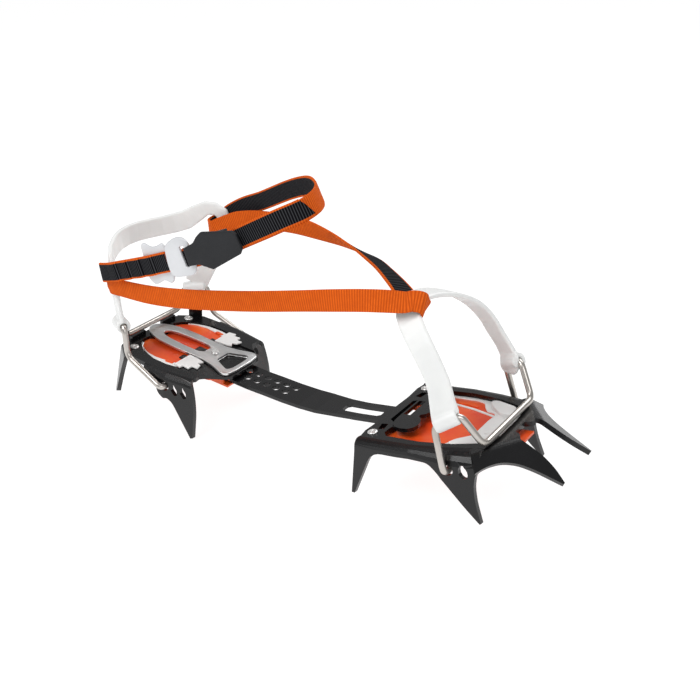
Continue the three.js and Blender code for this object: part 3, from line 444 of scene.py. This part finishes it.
def strap_mesh(name, path, begin, end, columns=13, flip=False, lift=None, slant=0.0):
    """A length of webbing with the attributes that its material reads.
    lift(along in mm) raises the face in mm; slant in mm cuts the end at an angle."""
    centre, across, normal, width, along = path.read(begin, end)
    ring = profile(STRAP_THICK * MM, columns)
    m = len(ring)
    vertices = []
    values = {"along": [], "across": [], "side": []}
    rise = np.array([lift(a / MM) * MM if lift else 0.0 for a in along])
    for i in range(len(centre)):
        for x, out, side in ring:
            k = i
            if slant:
                limit = along[-1] - slant * MM * (0.5 - 0.5 * x)
                k = min(i, int(np.searchsorted(along, limit)))
            k = min(k, len(along) - 1)
            height = out + (rise[k] if side == 1.0 else 0.0)
            vertices.append(centre[k] + across[k] * (x * width[k] / 2) + normal[k] * height)
            values["along"].append(along[k])
            values["across"].append(x)
            values["side"].append(1.0 - side if flip else side)
    faces = []
    for i in range(len(centre) - 1):
        for j in range(m):
            a, b = i * m + j, i * m + (j + 1) % m
            faces.append((a, b, b + m, a + m))
    faces.append(tuple(reversed(range(m))))
    last = (len(centre) - 1) * m
    faces.append(tuple(range(last, last + m)))
    mesh = bpy.data.meshes.new(name)
    mesh.from_pydata([tuple(v) for v in vertices], [], faces)
    for key, data in values.items():
        layer = mesh.attributes.new(key, "FLOAT", "POINT")
        layer.data.foreach_set("value", np.array(data, np.float32))
    fix_normals(mesh)
    obj = link(name, mesh, (WEBBING, "webbing_black" if flip else "webbing_orange"))
    smooth(obj, 50)
    return obj


CORNER_SHARE = 0.45  # the most of a side that one rounded corner takes


def rounded_loop(points, radius, steps=5):
    """A closed outline with its corners rounded off."""
    p = [np.array(q, float) for q in points]
    out = []
    for i, corner in enumerate(p):
        back, ahead = p[i - 1] - corner, p[(i + 1) % len(p)] - corner
        k = min(radius, CORNER_SHARE * np.linalg.norm(back), CORNER_SHARE * np.linalg.norm(ahead))
        a, b = corner + unit(back) * k, corner + unit(ahead) * k
        for t in np.linspace(0, 1, steps):
            out.append((1 - t) ** 2 * a + 2 * t * (1 - t) * corner + t**2 * b)
    return out


def plate(name, outline, place, top, thick, finish, body, corner, rim, holes=(), hole_corner=0.8):
    """A flat plate of outline less holes, in millimetres, rounded by corner in plan and by rim at its edges.
    place maps a point in millimetres to metres; top is the height of the upper face."""
    curve = bpy.data.curves.new(name, "CURVE")
    curve.dimensions = "2D"
    curve.fill_mode = "BOTH"
    curve.extrude = thick / 2 - rim
    curve.bevel_depth = rim
    curve.bevel_resolution = 2
    curve.offset = -rim
    for loop, radius in [(outline, corner)] + [(hole, hole_corner) for hole in holes]:
        loop = rounded_loop(loop, radius)
        made = curve.splines.new("POLY")
        made.points.add(len(loop) - 1)
        for point, (x, y) in zip(made.points, loop):
            point.co = (x, y, 0, 1)
        made.use_cyclic_u = True
    flat = bpy.data.objects.new(name, curve)
    bpy.context.scene.collection.objects.link(flat)
    graph = bpy.context.evaluated_depsgraph_get()
    mesh = bpy.data.meshes.new_from_object(flat.evaluated_get(graph))
    bpy.data.objects.remove(flat)
    bpy.data.curves.remove(curve)
    for v in mesh.vertices:
        v.co = place((v.co.x, v.co.y, v.co.z + top - thick / 2))
    work = bmesh.new()
    work.from_mesh(mesh)
    bmesh.ops.remove_doubles(work, verts=work.verts, dist=1e-6)
    work.to_mesh(mesh)
    work.free()
    fix_normals(mesh)
    obj = link(name, mesh, finish)
    smooth(obj, 40)
    if body:
        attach(obj, body)
    return obj


def tilted(at, pitch):
    """The frame of a section: x to the toe along the plate, z up from its top."""
    c, k = math.cos(math.radians(pitch)), math.sin(math.radians(pitch))
    return lambda p: row((at[0] + p[0] * c - p[2] * k, p[1], at[2] + p[0] * k + p[2] * c))


def upright(p):
    """Plates that stand along the near side: x, height, and distance outwards from the middle."""
    return row((p[0], -p[2], p[1]))


def both_sides(half):
    return list(half) + [(x, -y) for x, y in reversed(half) if y]


def mirrored(points):
    return [(x, -y) for x, y in reversed(points)]


def rectangle(x0, y0, x1, y1):
    return [(x0, y0), (x1, y0), (x1, y1), (x0, y1)]


def plates(body, place, rows):
    """The plates of one body, from rows of name, outline, top, thickness, finish, corner and rim."""
    for name, outline, top, thick, finish, corner, rim in rows:
        plate(name, outline, place, top, thick, finish, body, corner, rim)


def fix_normals(mesh):
    work = bmesh.new()
    work.from_mesh(mesh)
    bmesh.ops.recalc_face_normals(work, faces=work.faces)
    work.to_mesh(mesh)
    work.free()


def corner_path(points, setback, steps=7):
    """Corner points with each corner rounded off by a quadratic curve."""
    p = [np.array(q, float) for q in points]
    out = [p[0]]
    for i in range(1, len(p) - 1):
        back, ahead = p[i - 1] - p[i], p[i + 1] - p[i]
        k = min(setback, CORNER_SHARE * np.linalg.norm(back), CORNER_SHARE * np.linalg.norm(ahead))
        a, b = p[i] + unit(back) * k, p[i] + unit(ahead) * k
        for t in np.linspace(0, 1, steps):
            out.append((1 - t) ** 2 * a + 2 * t * (1 - t) * p[i] + t**2 * b)
    out.append(p[-1])
    return np.array(out)


def tube_mesh(name, path, radius, sides=20):
    tangent = unit(np.gradient(path, axis=0))
    normal = unit(np.cross([0.13, 0.31, 0.94], tangent[0]))
    vertices, faces = [], []
    for p, t in zip(path, tangent):
        normal = unit(normal - t * normal.dot(t))
        side = np.cross(t, normal)
        for a in np.linspace(0, 2 * math.pi, sides, endpoint=False):
            vertices.append(tuple(p + radius * (math.cos(a) * side + math.sin(a) * normal)))
    count = len(path)
    for i in range(count - 1):
        for j in range(sides):
            a, b = i * sides + j, i * sides + (j + 1) % sides
            faces.append((a, b, b + sides, a + sides))
    faces.append(tuple(reversed(range(sides))))
    faces.append(tuple(range((count - 1) * sides, count * sides)))
    mesh = bpy.data.meshes.new(name)
    mesh.from_pydata(vertices, [], faces)
    fix_normals(mesh)
    return mesh


def lathe_mesh(name, outline, at, axis, sides=40):
    """Outline of (radius, height) turned about axis through at."""
    z = Vector(axis).normalized()
    x = z.orthogonal().normalized()
    y = z.cross(x)
    vertices, faces = [], []
    for radius, height in outline:
        for k in range(sides):
            a = 2 * math.pi * k / sides
            vertices.append(Vector(at) + z * height + (x * math.cos(a) + y * math.sin(a)) * radius)
    for i in range(len(outline) - 1):
        for k in range(sides):
            a, b = i * sides + k, i * sides + (k + 1) % sides
            faces.append((a, b, b + sides, a + sides))
    faces.append(tuple(reversed(range(sides))))
    faces.append(tuple(range((len(outline) - 1) * sides, len(outline) * sides)))
    mesh = bpy.data.meshes.new(name)
    mesh.from_pydata(vertices, [], faces)
    fix_normals(mesh)
    return mesh


def soft_copy(name, cad, finish, body, voxel_mm, rounds, extra=()):
    """A moulded soft piece: CAD solid and extra meshes fused, then rounded off. It replaces the CAD node."""
    work = bmesh.new()
    work.from_mesh(nodes[cad].data)
    for mesh in extra:
        work.from_mesh(mesh)
    mesh = bpy.data.meshes.new(name)
    work.to_mesh(mesh)
    work.free()
    obj = link(name, mesh, finish)
    remesh = obj.modifiers.new("remesh", "REMESH")
    remesh.mode = "VOXEL"
    remesh.voxel_size = voxel_mm * MM
    relax = obj.modifiers.new("relax", "SMOOTH")
    relax.factor = 0.5
    relax.iterations = rounds
    apply_modifiers(obj)
    obj.data.materials.clear()
    obj.data.materials.append(finish[0])
    for polygon in obj.data.polygons:
        polygon.use_smooth = True
    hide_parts(cad)
    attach(obj, body)
    return obj


FRONT_AT, FRONT_PITCH = (45.3, 0, 32.4), 7.6
HEEL_AT, HEEL_PITCH = (-150.0, 0, 41.4), 7.35
FRONT = tilted(FRONT_AT, FRONT_PITCH)
HEEL = tilted(HEEL_AT, -HEEL_PITCH)

# ---------------------------------------------------------------- steel
for name in ("front_frame", "heel_frame"):
    bevelled(name, STEEL[0], 0.0008, 3)
bevelled("linking_bar", STEEL[0], 0.0003, 3)
bevelled("lever_peg", RIVETS[0], 0.0003)
for name in ("front_antiball_bowl", "heel_antiball_membrane"):
    bevelled(name, ORANGE[0], 0.0003)

# ---------------------------------------------------------------- front anti-balling plate and membrane
FRONT_RIM_OUTER = [(10, 29.6), (11.5, 33), (33, 34.6), (52, 31.6), (66.6, 26.6), (75.8, 12.5)]
FRONT_RIM_INNER = [
    (20, 31.2), (36, 30.8), (42, 28.8), (45, 23.5), (48.6, 18.8), (54, 18), (55.6, 14.8), (54.8, 8),
]
FRONT_WHITE = [
    *FRONT_RIM_OUTER,
    (76.8, 0),
    *mirrored(FRONT_RIM_OUTER),
    *mirrored(FRONT_RIM_INNER[::-1]),
    *FRONT_RIM_INNER[::-1],
]
FRONT_ORANGE = both_sides(
    [
        (4.6, 0), (4.6, 10.6), (-2.5, 10.6), (-2.5, 30), (9, 31.6), (20, 32.4), (36, 32), (44, 29),
        (58, 17), (58, 0),
    ]
)
FRONT_PAD = [(51.6, 29.2), (65.2, 24.4), (72.4, 12.6), (64, 13.2), (58.6, 14.6), (50.0, 22.5), (47.4, 28.0)]


FRONT_LINE = [(24, 22.6), (40, 18.9), (55.2, 13.4), (55.2, 15.2), (40, 20.6), (24, 24.2)]
FRONT_TAB = [(26, 24.2), (33, 24.0), (40, 21.9), (41, 23.6), (34, 26.0), (26, 26.4)]


def front_plates():
    white = plate("front_white", FRONT_WHITE, FRONT, -3.3, 1.9, WHITE, "front_section", 1.6, 0.4)
    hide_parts("front_antiball_plate")
    rows = [
        ("front_orange", FRONT_ORANGE, -4.1, 1.0, ORANGE, 2, 0.3),
        ("front_pad_near", mirrored(FRONT_PAD), -0.5, 3.4, WHITE, 2.2, 0.7),
        ("front_pad_far", FRONT_PAD, -0.5, 3.4, WHITE, 2.2, 0.7),
        ("front_bridge", rectangle(61, -10, 72, 10), -1.9, 2.0, WHITE, 2, 0.5),
        ("front_line", FRONT_LINE, -3.5, 0.9, WHITE, 0.6, 0.25),
        ("front_tab", FRONT_TAB, -3.2, 1.2, ORANGE, 0.8, 0.3),
    ]
    plates("front_section", FRONT, rows)


front_plates()

# ---------------------------------------------------------------- heel anti-balling plate and membrane
HEEL_PANEL = both_sides(
    [
        (2.6, 0), (2.6, 7.0), (-2.0, 9.6), (-2.7, 14.6), (0.6, 20.0), (8.4, 25.9), (20, 29.4),
        (30.8, 29.6), (39, 28.0), (41.5, 20.0), (41.5, 0),
    ]
)
HEEL_CRESCENT = [
    (3.4, -22.3), (8.4, -25.6), (14, -27.9), (20, -29.1), (30.6, -29.3), (38.6, -27.8), (38.6, -23.6),
    (33, -24.2), (26, -25.6), (18, -26.4), (10, -25.2),
]
HEEL_TAB = [(27, -24.8), (33.5, -24.2), (33.8, -26.6), (27.6, -27.2)]
# Painted shade: dark steel-coloured sheets on the orange panel stand for the shaded slots behind the white
# bar; the middle one lies where the lever casts its shadow.
HEEL_SLOT_SHADE = rectangle(31, -17.2, 38.4, -12.2)
# One wing, on the far side, with its teeth towards the toe.
HEEL_WING = [
    (37.2, 12.6), (37.2, 28.2), (42.8, 29.2), (43.4, 26.4), (48.4, 27.0), (48.4, 23.2), (53.0, 23.2),
    (51.8, 18.8), (48.6, 18.0), (50.8, 14.4), (46.6, 13.4),
]


def heel_plates():
    body = "heel_section"
    white = plate("heel_white", rectangle(39.4, -24, 43.2, 24), HEEL, -0.5, 2.0, WHITE, body, 0.8, 0.3)
    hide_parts("heel_antiball_plate")
    rows = [("heel_orange", HEEL_PANEL, -1.5, 1.4, ORANGE, 1.5, 0.4)]
    for name, turn in (("near", list), ("far", mirrored)):
        rows += [
            ("heel_crescent_" + name, turn(HEEL_CRESCENT), -0.8, 1.6, WHITE, 1.2, 0.35),
            ("heel_tab_" + name, turn(HEEL_TAB), -0.5, 1.0, ORANGE, 0.8, 0.3),
            # Painted shade: a dark sheet for the shaded slot on each side.
            ("heel_slot_shade_" + name, turn(HEEL_SLOT_SHADE), -0.7, 1.4, STEEL, 0.8, 0.3),
            ("heel_wing_" + name, mirrored(turn(HEEL_WING)), 1.6, 1.2, WHITE, 0.35, 0.3),
        ]
    # Painted shade: a dark sheet where the lever casts its shadow between its arms.
    rows.append(("heel_slot_shade", rectangle(32, -3.2, 39, 3.2), -0.7, 1.4, STEEL, 0.8, 0.3))
    plates(body, HEEL, rows)


heel_plates()

# ---------------------------------------------------------------- adjuster lever
LEVER = both_sides(
    [
        (-9.6, 0), (-9.0, 3.2), (-6.6, 6.0), (-1, 9.0), (5, 10.9), (14, 11.8), (24, 12.1), (40, 11.4),
        (48, 11.7), (57, 13.4), (67, 17.2), (70, 17.0), (72.2, 15.2), (73.4, 8), (73.4, 0),
    ]
)
LEVER_GAP = both_sides(
    [
        (2.8, 0), (3.4, 2.0), (6, 3.6), (12, 4.8), (26, 5.6), (38, 5.4), (42, 3.2), (42.6, 0),
    ]
)
LEVER_WINDOW = both_sides(
    [
        (54.6, 0), (54.6, 5.4), (56, 6.8), (66.6, 11.6), (68.8, 11.0), (70.2, 7.0), (70.4, 0),
    ]
)
LEVER_HOLES = [LEVER_GAP, LEVER_WINDOW]
LEVER_DROP = math.radians(1.0)  # the lever leans down towards the toe
LEVER_REAR = 4.6  # it leans about a line this far behind the section's origin
LEVER_RISE = 0.4


def on_lever(p):
    c, k = math.cos(LEVER_DROP), math.sin(LEVER_DROP)
    x, z = p[0] + LEVER_REAR, p[2]
    return HEEL((x * c + z * k - LEVER_REAR, p[1], z * c - x * k + LEVER_RISE))


lever = plate("lever_look", LEVER, on_lever, 2.0, 1.9, LEVER_METAL, None, 2.0, 0.35, LEVER_HOLES, 1.6)
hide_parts("adjuster_lever")
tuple(HEEL((0, 0, 2)))
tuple(HEEL((34, 0, 2)))
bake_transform(lever)

# ---------------------------------------------------------------- rivets
RIVET_TOP = 0.00155  # from the middle of a rivet to its dimple's rim


def rivet(name, body, tilt, radius_mm):
    """A rivet with a rounded head and a dimple, leaning by tilt degrees towards the toe."""
    low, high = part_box(name)
    axis = Vector((math.sin(math.radians(tilt)), 0, math.cos(math.radians(tilt))))
    middle = (low + high) / 2
    top = middle + axis * RIVET_TOP
    r = radius_mm * MM
    outline = [
        (0.0013, -0.0030),
        (0.0013, -0.0011),
        (r - 0.0002, -0.0011),
        (r, -0.0009),
        (r, -0.0006),
        (r - 0.0003, -0.0002),
        (r - 0.0010, 0.0),
        (0.0013, 0.0001),
        (0.0011, 0.0),
        (0.0009, -0.0004),
        (0.0002, -0.0005),
    ]
    obj = link(name + "_look", lathe_mesh(name, outline, top, axis), RIVETS)
    smooth(obj, 50)
    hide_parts(name)
    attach(obj, body)


for side in ("near", "far"):
    rivet("front_rivet_" + side, "front_section", -FRONT_PITCH, 3.1)
    rivet("heel_rivet_" + side, "heel_section", HEEL_PITCH, 3.1)
rivet("lever_rivet", "heel_section", HEEL_PITCH, 3.3)

# ---------------------------------------------------------------- wire bails
TOE_HOLE = (100.47, 45.4, 29.47)
TOE_HUMP = [(93.2, 43.6, 56.4), (105.8, 37.6, 64.0)]
TOE_CORNER = (116.9, 30.5, 44.6)
HEEL_HOLE = (-110.83, 44.8, 27.68)
HEEL_BENDS = [(-140.5, 42.5, 43.2), (-141.5, 41.0, 63.6), (-156.6, 32.0, 61.8), (-157.2, 27.2, 48.4)]
WIRE_RADIUS = 0.0020
WIRE_END_Y = 36.0  # each end of a wire stops inside its hole
WIRE_BEND = 5.0


def flip_y(p):
    return (p[0], -p[1], p[2])


def bail(name, hole, bends, body):
    half = [(hole[0], WIRE_END_Y, hole[2]), hole, *bends]
    path = corner_path(half + [flip_y(p) for p in reversed(half)], WIRE_BEND)
    path = (path + ORIGIN_MM) * MM
    obj = link(name + "_look", tube_mesh(name, path, WIRE_RADIUS, 24), WIRE)
    smooth(obj, 60)
    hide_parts(name)
    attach(obj, body)


bail("toe_bail", TOE_HOLE, [*TOE_HUMP, TOE_CORNER], "toe_binding")
bail("heel_bail", HEEL_HOLE, HEEL_BENDS, "heel_binding")

# ---------------------------------------------------------------- harnesses


TAB_POWER = 0.62  # under 1, so the tab is flat with round corners
TOE_TAB_AT = (98.0, 39.2, 60.6)
TOE_TAB_ALONG = (0.86, -0.41, 0.1)
TOE_TAB_OUT = (0.41, 0.86, 0.2)
TOE_TAB_HALF = (8.4, 1.7, 8.0)


def foot_tab(at, along, out, half):
    """A flat rounded tab: half sizes along, out and up, in millimetres."""
    mesh = bpy.data.meshes.new("tab")
    work = bmesh.new()
    bmesh.ops.create_uvsphere(work, u_segments=32, v_segments=20, radius=1.0)
    a, o = unit(np.array(along, float)), unit(np.array(out, float))
    up = np.array([0, 0, 1.0])
    for v in work.verts:
        q = [math.copysign(abs(c) ** TAB_POWER, c) for c in v.co]
        point = np.array(at, float) + a * q[0] * half[0] + o * q[1] * half[1] + up * q[2] * half[2]
        v.co = row(point)
    work.to_mesh(mesh)
    work.free()
    return mesh


toe_tab = foot_tab(TOE_TAB_AT, TOE_TAB_ALONG, TOE_TAB_OUT, TOE_TAB_HALF)
soft_copy("toe_harness_look", "toe_harness", SOFT_WHITE, "toe_binding", 0.6, 9, [toe_tab])
soft_copy("heel_harness_look", "heel_harness", SOFT_WHITE, "heel_binding", 0.6, 8)

# ---------------------------------------------------------------- buckle and keeper
SLIDER = [
    (-107, 128.4), (-105, 130.6), (-98, 128.6), (-93, 130.6), (-89, 133), (-87, 131), (-81.4, 112),
    (-84.0, 107.6), (-90, 109.2), (-94, 106.6), (-98, 104.4), (-102.8, 107),
]
BUCKLE = [
    (-83.0, 133.0), (-79.0, 136.8), (-73.7, 140.2), (-68.1, 141.0), (-64.0, 139.0), (-58.6, 123.4),
    (-60.8, 119.0), (-75.4, 114.8), (-79.6, 116.0), (-81.6, 122.0),
]
BUCKLE_SLOT = [(-71.0, 134.6), (-67.4, 136.0), (-63.4, 123.8), (-66.4, 122.8)]
KEEPER = [
    (-65.4, 135.4), (-57.3, 139.9), (-54.2, 144.2), (-50.5, 147.6), (-27.4, 151.8), (-24.0, 150.6),
    (-20.6, 142.4), (-22.4, 138.9), (-43.2, 126.4), (-54.0, 127.5), (-62.0, 125.0),
]
slider = plate("slider_look", SLIDER, upright, 49.1, 1.6, ALLOY, "buckle_slider", 2.4, 0.5)
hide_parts("buckle_slider")
buckle = plate("buckle_look", BUCKLE, upright, 53.2, 1.7, ALLOY, "heel_binding", 2.6, 0.5, [BUCKLE_SLOT], 0.9)
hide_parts("buckle_plate")
soft_copy("keeper_sleeve", "strap_keeper", RUBBER, "strap_keeper", 0.35, 6)
plate("keeper_tab", KEEPER, upright, 55.6, 2.1, RUBBER, "strap_keeper", 2.4, 0.7)

# ---------------------------------------------------------------- webbing
POST_AT = np.array([-149.4, -37.0])
POST_ALONG = np.array([0.84, -0.54])
POST_OUT = np.array([-0.54, -0.84])
STRAP_W = 12.6


def post(w, n, z):
    x, y = POST_AT + w * POST_ALONG + n * POST_OUT
    return (x, y, z)


NEAR = [
    [post(-7.5, 2.9, 91.8), (-0.75, -0.66, 0.0), 12],
    [post(0, 3.2, 92.6), (-0.5, -0.86, -0.08), 12],
    [post(7.0, 4.0, 93.8), (-0.42, -0.9, -0.1), 12],
    [(-134.5, -46.4, 94.8), (-0.12, -0.99, -0.1), 12],
    [(-111.6, -46.6, 95.0), (0.0, -1, 0), 12.3],
    [(-90.4, -46.2, 96.4), (0.0, -1, 0), STRAP_W],
    [(-65.9, -45.6, 99.5), (0.02, -1, 0), STRAP_W],
    [(-42.9, -44.6, 103.0), (0.03, -1, 0), STRAP_W],
    [(-21.3, -43.0, 106.4), (0.04, -1, 0), STRAP_W],
    [(5.9, -40.5, 111.1), (0.05, -1, 0), STRAP_W],
    [(25.0, -38.0, 114.2), (0.0, -0.98, 0.15), STRAP_W],
    [(42.6, -34.5, 116.4), (0.0, -0.93, 0.3), STRAP_W],
    [(55.9, -30.2, 117.0), (-0.03, -0.82, 0.5), STRAP_W],
    [(64.2, -26.6, 116.8), (-0.05, -0.72, 0.65), STRAP_W],
]
TOE_TURN = [
    [(65.6, -26.0, 116.7), (-0.02, -0.7, 0.7), STRAP_W],
    [(70.0, -23.6, 117.4), (0.16, -0.62, 0.76), STRAP_W],
    [(74.8, -21.0, 116.0), (0.95, -0.05, 0.3), STRAP_W],
    [(72.4, -16.4, 109.8), (0.25, 0.55, -0.8), STRAP_W],
    [(66.2, -12.6, 107.4), (0.0, 0.4, -0.9), STRAP_W],
    [(59.0, -7.2, 107.6), (-0.15, 0.3, -0.94), STRAP_W],
]
FAR = [
    [(50.4, -1.2, 110.6), (-0.3, 0.1, -0.95), STRAP_W],
    [(42.2, 3.4, 113.8), (-0.37, -0.02, -0.93), STRAP_W],
    [(31.2, 8.8, 117.6), (-0.4, -0.16, -0.9), STRAP_W],
    [(20.5, 13.4, 120.4), (-0.26, -0.27, -0.93), STRAP_W],
    [(8.0, 18.5, 121.8), (-0.23, -0.49, -0.84), STRAP_W],
    [(-2.0, 22.7, 122.2), (-0.26, -0.62, -0.73), STRAP_W],
    [(-16.7, 28.0, 123.0), (-0.22, -0.79, -0.56), STRAP_W],
    [(-40.1, 34.0, 123.7), (-0.12, -0.96, -0.24), STRAP_W],
    [(-60.1, 36.7, 123.7), (-0.04, -0.99, -0.12), STRAP_W],
    [(-83.6, 37.4, 122.4), (0, -1, 0.02), STRAP_W],
    [(-100.6, 37.4, 119.6), (0, -1, 0.05), STRAP_W],
    [(-110.0, 37.0, 116.4), (0.05, -1, 0.05), STRAP_W],
]
HEEL_TURN = [
    [(-117.6, 36.4, 113.2), (0.08, -1, 0.05), 12.4],
    [(-124.8, 35.6, 110.4), (0.0, -1, 0), 11.6],
    [(-131.4, 40.4, 110.0), (-1, 0, 0), 11.4],
    [(-127.0, 46.4, 112.6), (0, 1, 0), 11.8],
    [(-119.0, 47.0, 118.2), (0.05, 1, 0), 12.4],
]
ANKLE = [
    [(-117.8, 47.0, 119.0), (0.05, 1, 0), STRAP_W],
    [(-112.0, 46.6, 122.4), (0.05, 1, 0), STRAP_W],
    [(-100.5, 45.0, 128.0), (0.08, 1, 0), STRAP_W],
    [(-83.0, 41.6, 134.8), (0.2, 0.97, 0.05), STRAP_W],
    [(-54.0, 32.0, 147.9), (0.35, 0.92, 0.1), STRAP_W],
    [(-35.1, 22.6, 155.4), (0.45, 0.87, 0.18), STRAP_W],
    [(-19.9, 12.0, 160.3), (0.62, 0.72, 0.25), STRAP_W],
    [(-6.8, 0.0, 162.8), (0.74, 0.58, 0.3), STRAP_W],
    [(2.9, -12.0, 164.0), (0.88, 0.3, 0.35), STRAP_W],
    [(8.6, -25.0, 164.2), (0.93, -0.2, 0.3), STRAP_W],
    [(7.0, -36.6, 162.0), (0.7, -0.68, 0.2), STRAP_W],
    [(-1.1, -43.4, 158.2), (0.4, -0.9, 0.1), STRAP_W],
    [(-11.3, -46.6, 153.2), (0.2, -0.97, 0.05), STRAP_W],
    [(-25.7, -48.0, 146.2), (0.07, -1, 0), STRAP_W],
    [(-40.0, -48.5, 139.0), (0.03, -1, 0), STRAP_W],
    [(-54.7, -48.6, 132.2), (0.0, -1, 0), STRAP_W],
    [(-70.0, -48.6, 126.4), (0.0, -1, 0), STRAP_W],
]
TAIL = [
    [(-70.0, -50.6, 126.4), (0.0, 1, 0), STRAP_W - 0.4],
    [(-54.7, -50.6, 132.2), (0.0, 1, 0), STRAP_W - 0.4],
    [(-40.0, -50.5, 139.2), (0.0, 1, 0), STRAP_W - 0.4],
    [(-25.0, -50.1, 147.0), (-0.1, 1, 0), STRAP_W - 0.4],
    [(-10.4, -48.8, 154.4), (-0.22, 0.97, -0.05), STRAP_W - 0.4],
    [(0.4, -45.6, 159.8), (-0.42, 0.9, -0.1), STRAP_W - 0.4],
    [(9.0, -38.4, 163.8), (-0.72, 0.66, -0.2), STRAP_W - 0.4],
    [(12.6, -30.0, 166.4), (-0.9, 0.3, -0.28), STRAP_W - 0.4],
]
POST_TURN = [
    [post(-9.4, 2.3, 92.4), (-0.9, -0.4, 0.0), 12.6],
    [post(-11.2, -0.4, 92.4), (-0.84, 0.54, 0), 12.4],
    [post(-7.6, -3.3, 92.4), (0.54, 0.84, 0), 12.4],
    [post(-1.0, -3.2, 92.4), (0.54, 0.84, 0), 12.4],
    [post(3.0, -0.7, 92.4), (0.95, 0.2, 0), 12.4],
]
FIXED = [
    [post(1.6, 6.4, 101.2), (0.5, 0.86, 0), STRAP_W],
    [post(6.4, 7.0, 102.8), (0.4, 0.9, 0), STRAP_W],
    [(-137.0, -48.9, 105.8), (0.1, 1, 0), STRAP_W],
    [(-121.0, -50.2, 110.8), (0, 1, 0), STRAP_W],
    [(-103.0, -50.3, 116.2), (0, 1, 0), STRAP_W],
    [(-84.0, -50.3, 122.4), (0, 1, 0), STRAP_W],
]


# The loop of webbing, from the post's slot round the toe and heel to the keeper.
# Its stations count from its start.
LOOP = [*reversed(POST_TURN), *NEAR[1:-1], *TOE_TURN, *FAR, *HEEL_TURN, *ANKLE[1:]]
loop = Path(LOOP)
POST_END = len(POST_TURN) - 1
TOE_START = POST_END + len(NEAR) - 1
TOE_END = TOE_START + len(TOE_TURN) - 1
HEEL_START = TOE_END + len(FAR) + 1
HEEL_END = HEEL_START + len(HEEL_TURN) - 1
LAST = len(LOOP) - 1


def run(name, begin, end, cad, body=None):
    """A length of the loop between two stations; body names the body that it moves with."""
    obj = strap_mesh(name, loop, loop.where(begin), loop.where(end))
    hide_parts(cad)
    if body:
        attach(obj, body)
    else:
        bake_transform(obj)


run("post_turn_look", 0, POST_END, "strap_post_turn", body="heel_binding")
# Each long run is cut into three lengths: by its harness, along the middle, and by the other harness.
near_split = (POST_END + 5, POST_END + 8)
run("near_heel", POST_END, near_split[0], "strap_near")
run("near_middle", near_split[0], near_split[1], "strap_near")
run("near_toe", near_split[1], TOE_START, "strap_near")
run("toe_turn_look", TOE_START, TOE_END, "strap_toe_turn", body="toe_binding")
far_split = (TOE_END + 6, TOE_END + 9)
run("far_toe", TOE_END, far_split[0], "strap_far")
run("far_middle", far_split[0], far_split[1], "strap_far")
run("far_heel", far_split[1], HEEL_START, "strap_far")
run("heel_turn_look", HEEL_START, HEEL_END, "strap_heel_turn", body="heel_binding")
run("ankle_look", HEEL_END, LAST, "strap_ankle", body="heel_binding")


FOLD_FIRST, FOLD_PITCH, FOLDS = 15.0, 11.5, 4
FOLD_HEIGHT = 1.3
FOLD_RISE, FOLD_DROP = 1.6, 9.0  # slopes, in heights per pitch
TAIL_SLANT = 6.0
TAIL_TRIM = 2.5


def folds(along):
    """The sewn folds of the fixed length: each rises and drops off sharply."""
    k = (along - FOLD_FIRST) / FOLD_PITCH
    if k < 0 or k > FOLDS:
        return 0.0
    f = k - math.floor(k)
    return FOLD_HEIGHT * min(f * FOLD_RISE, 1.0, (1 - f) * FOLD_DROP)


def turned(stations):
    """A path with its faces swapped, so that the black one shows."""
    return Path([[p, tuple(-np.array(n)), w] for p, n, w in stations])


fixed = turned(FIXED)
obj = strap_mesh("fixed_look", fixed, 0, fixed.length[-1], flip=True, lift=folds)
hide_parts("strap_fixed")
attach(obj, "heel_binding")
tail = turned(TAIL)
obj = strap_mesh("tail_look", tail, 0, tail.length[-1] - TAIL_TRIM, flip=True, slant=TAIL_SLANT)
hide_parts("strap_tail")
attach(obj, "heel_binding")
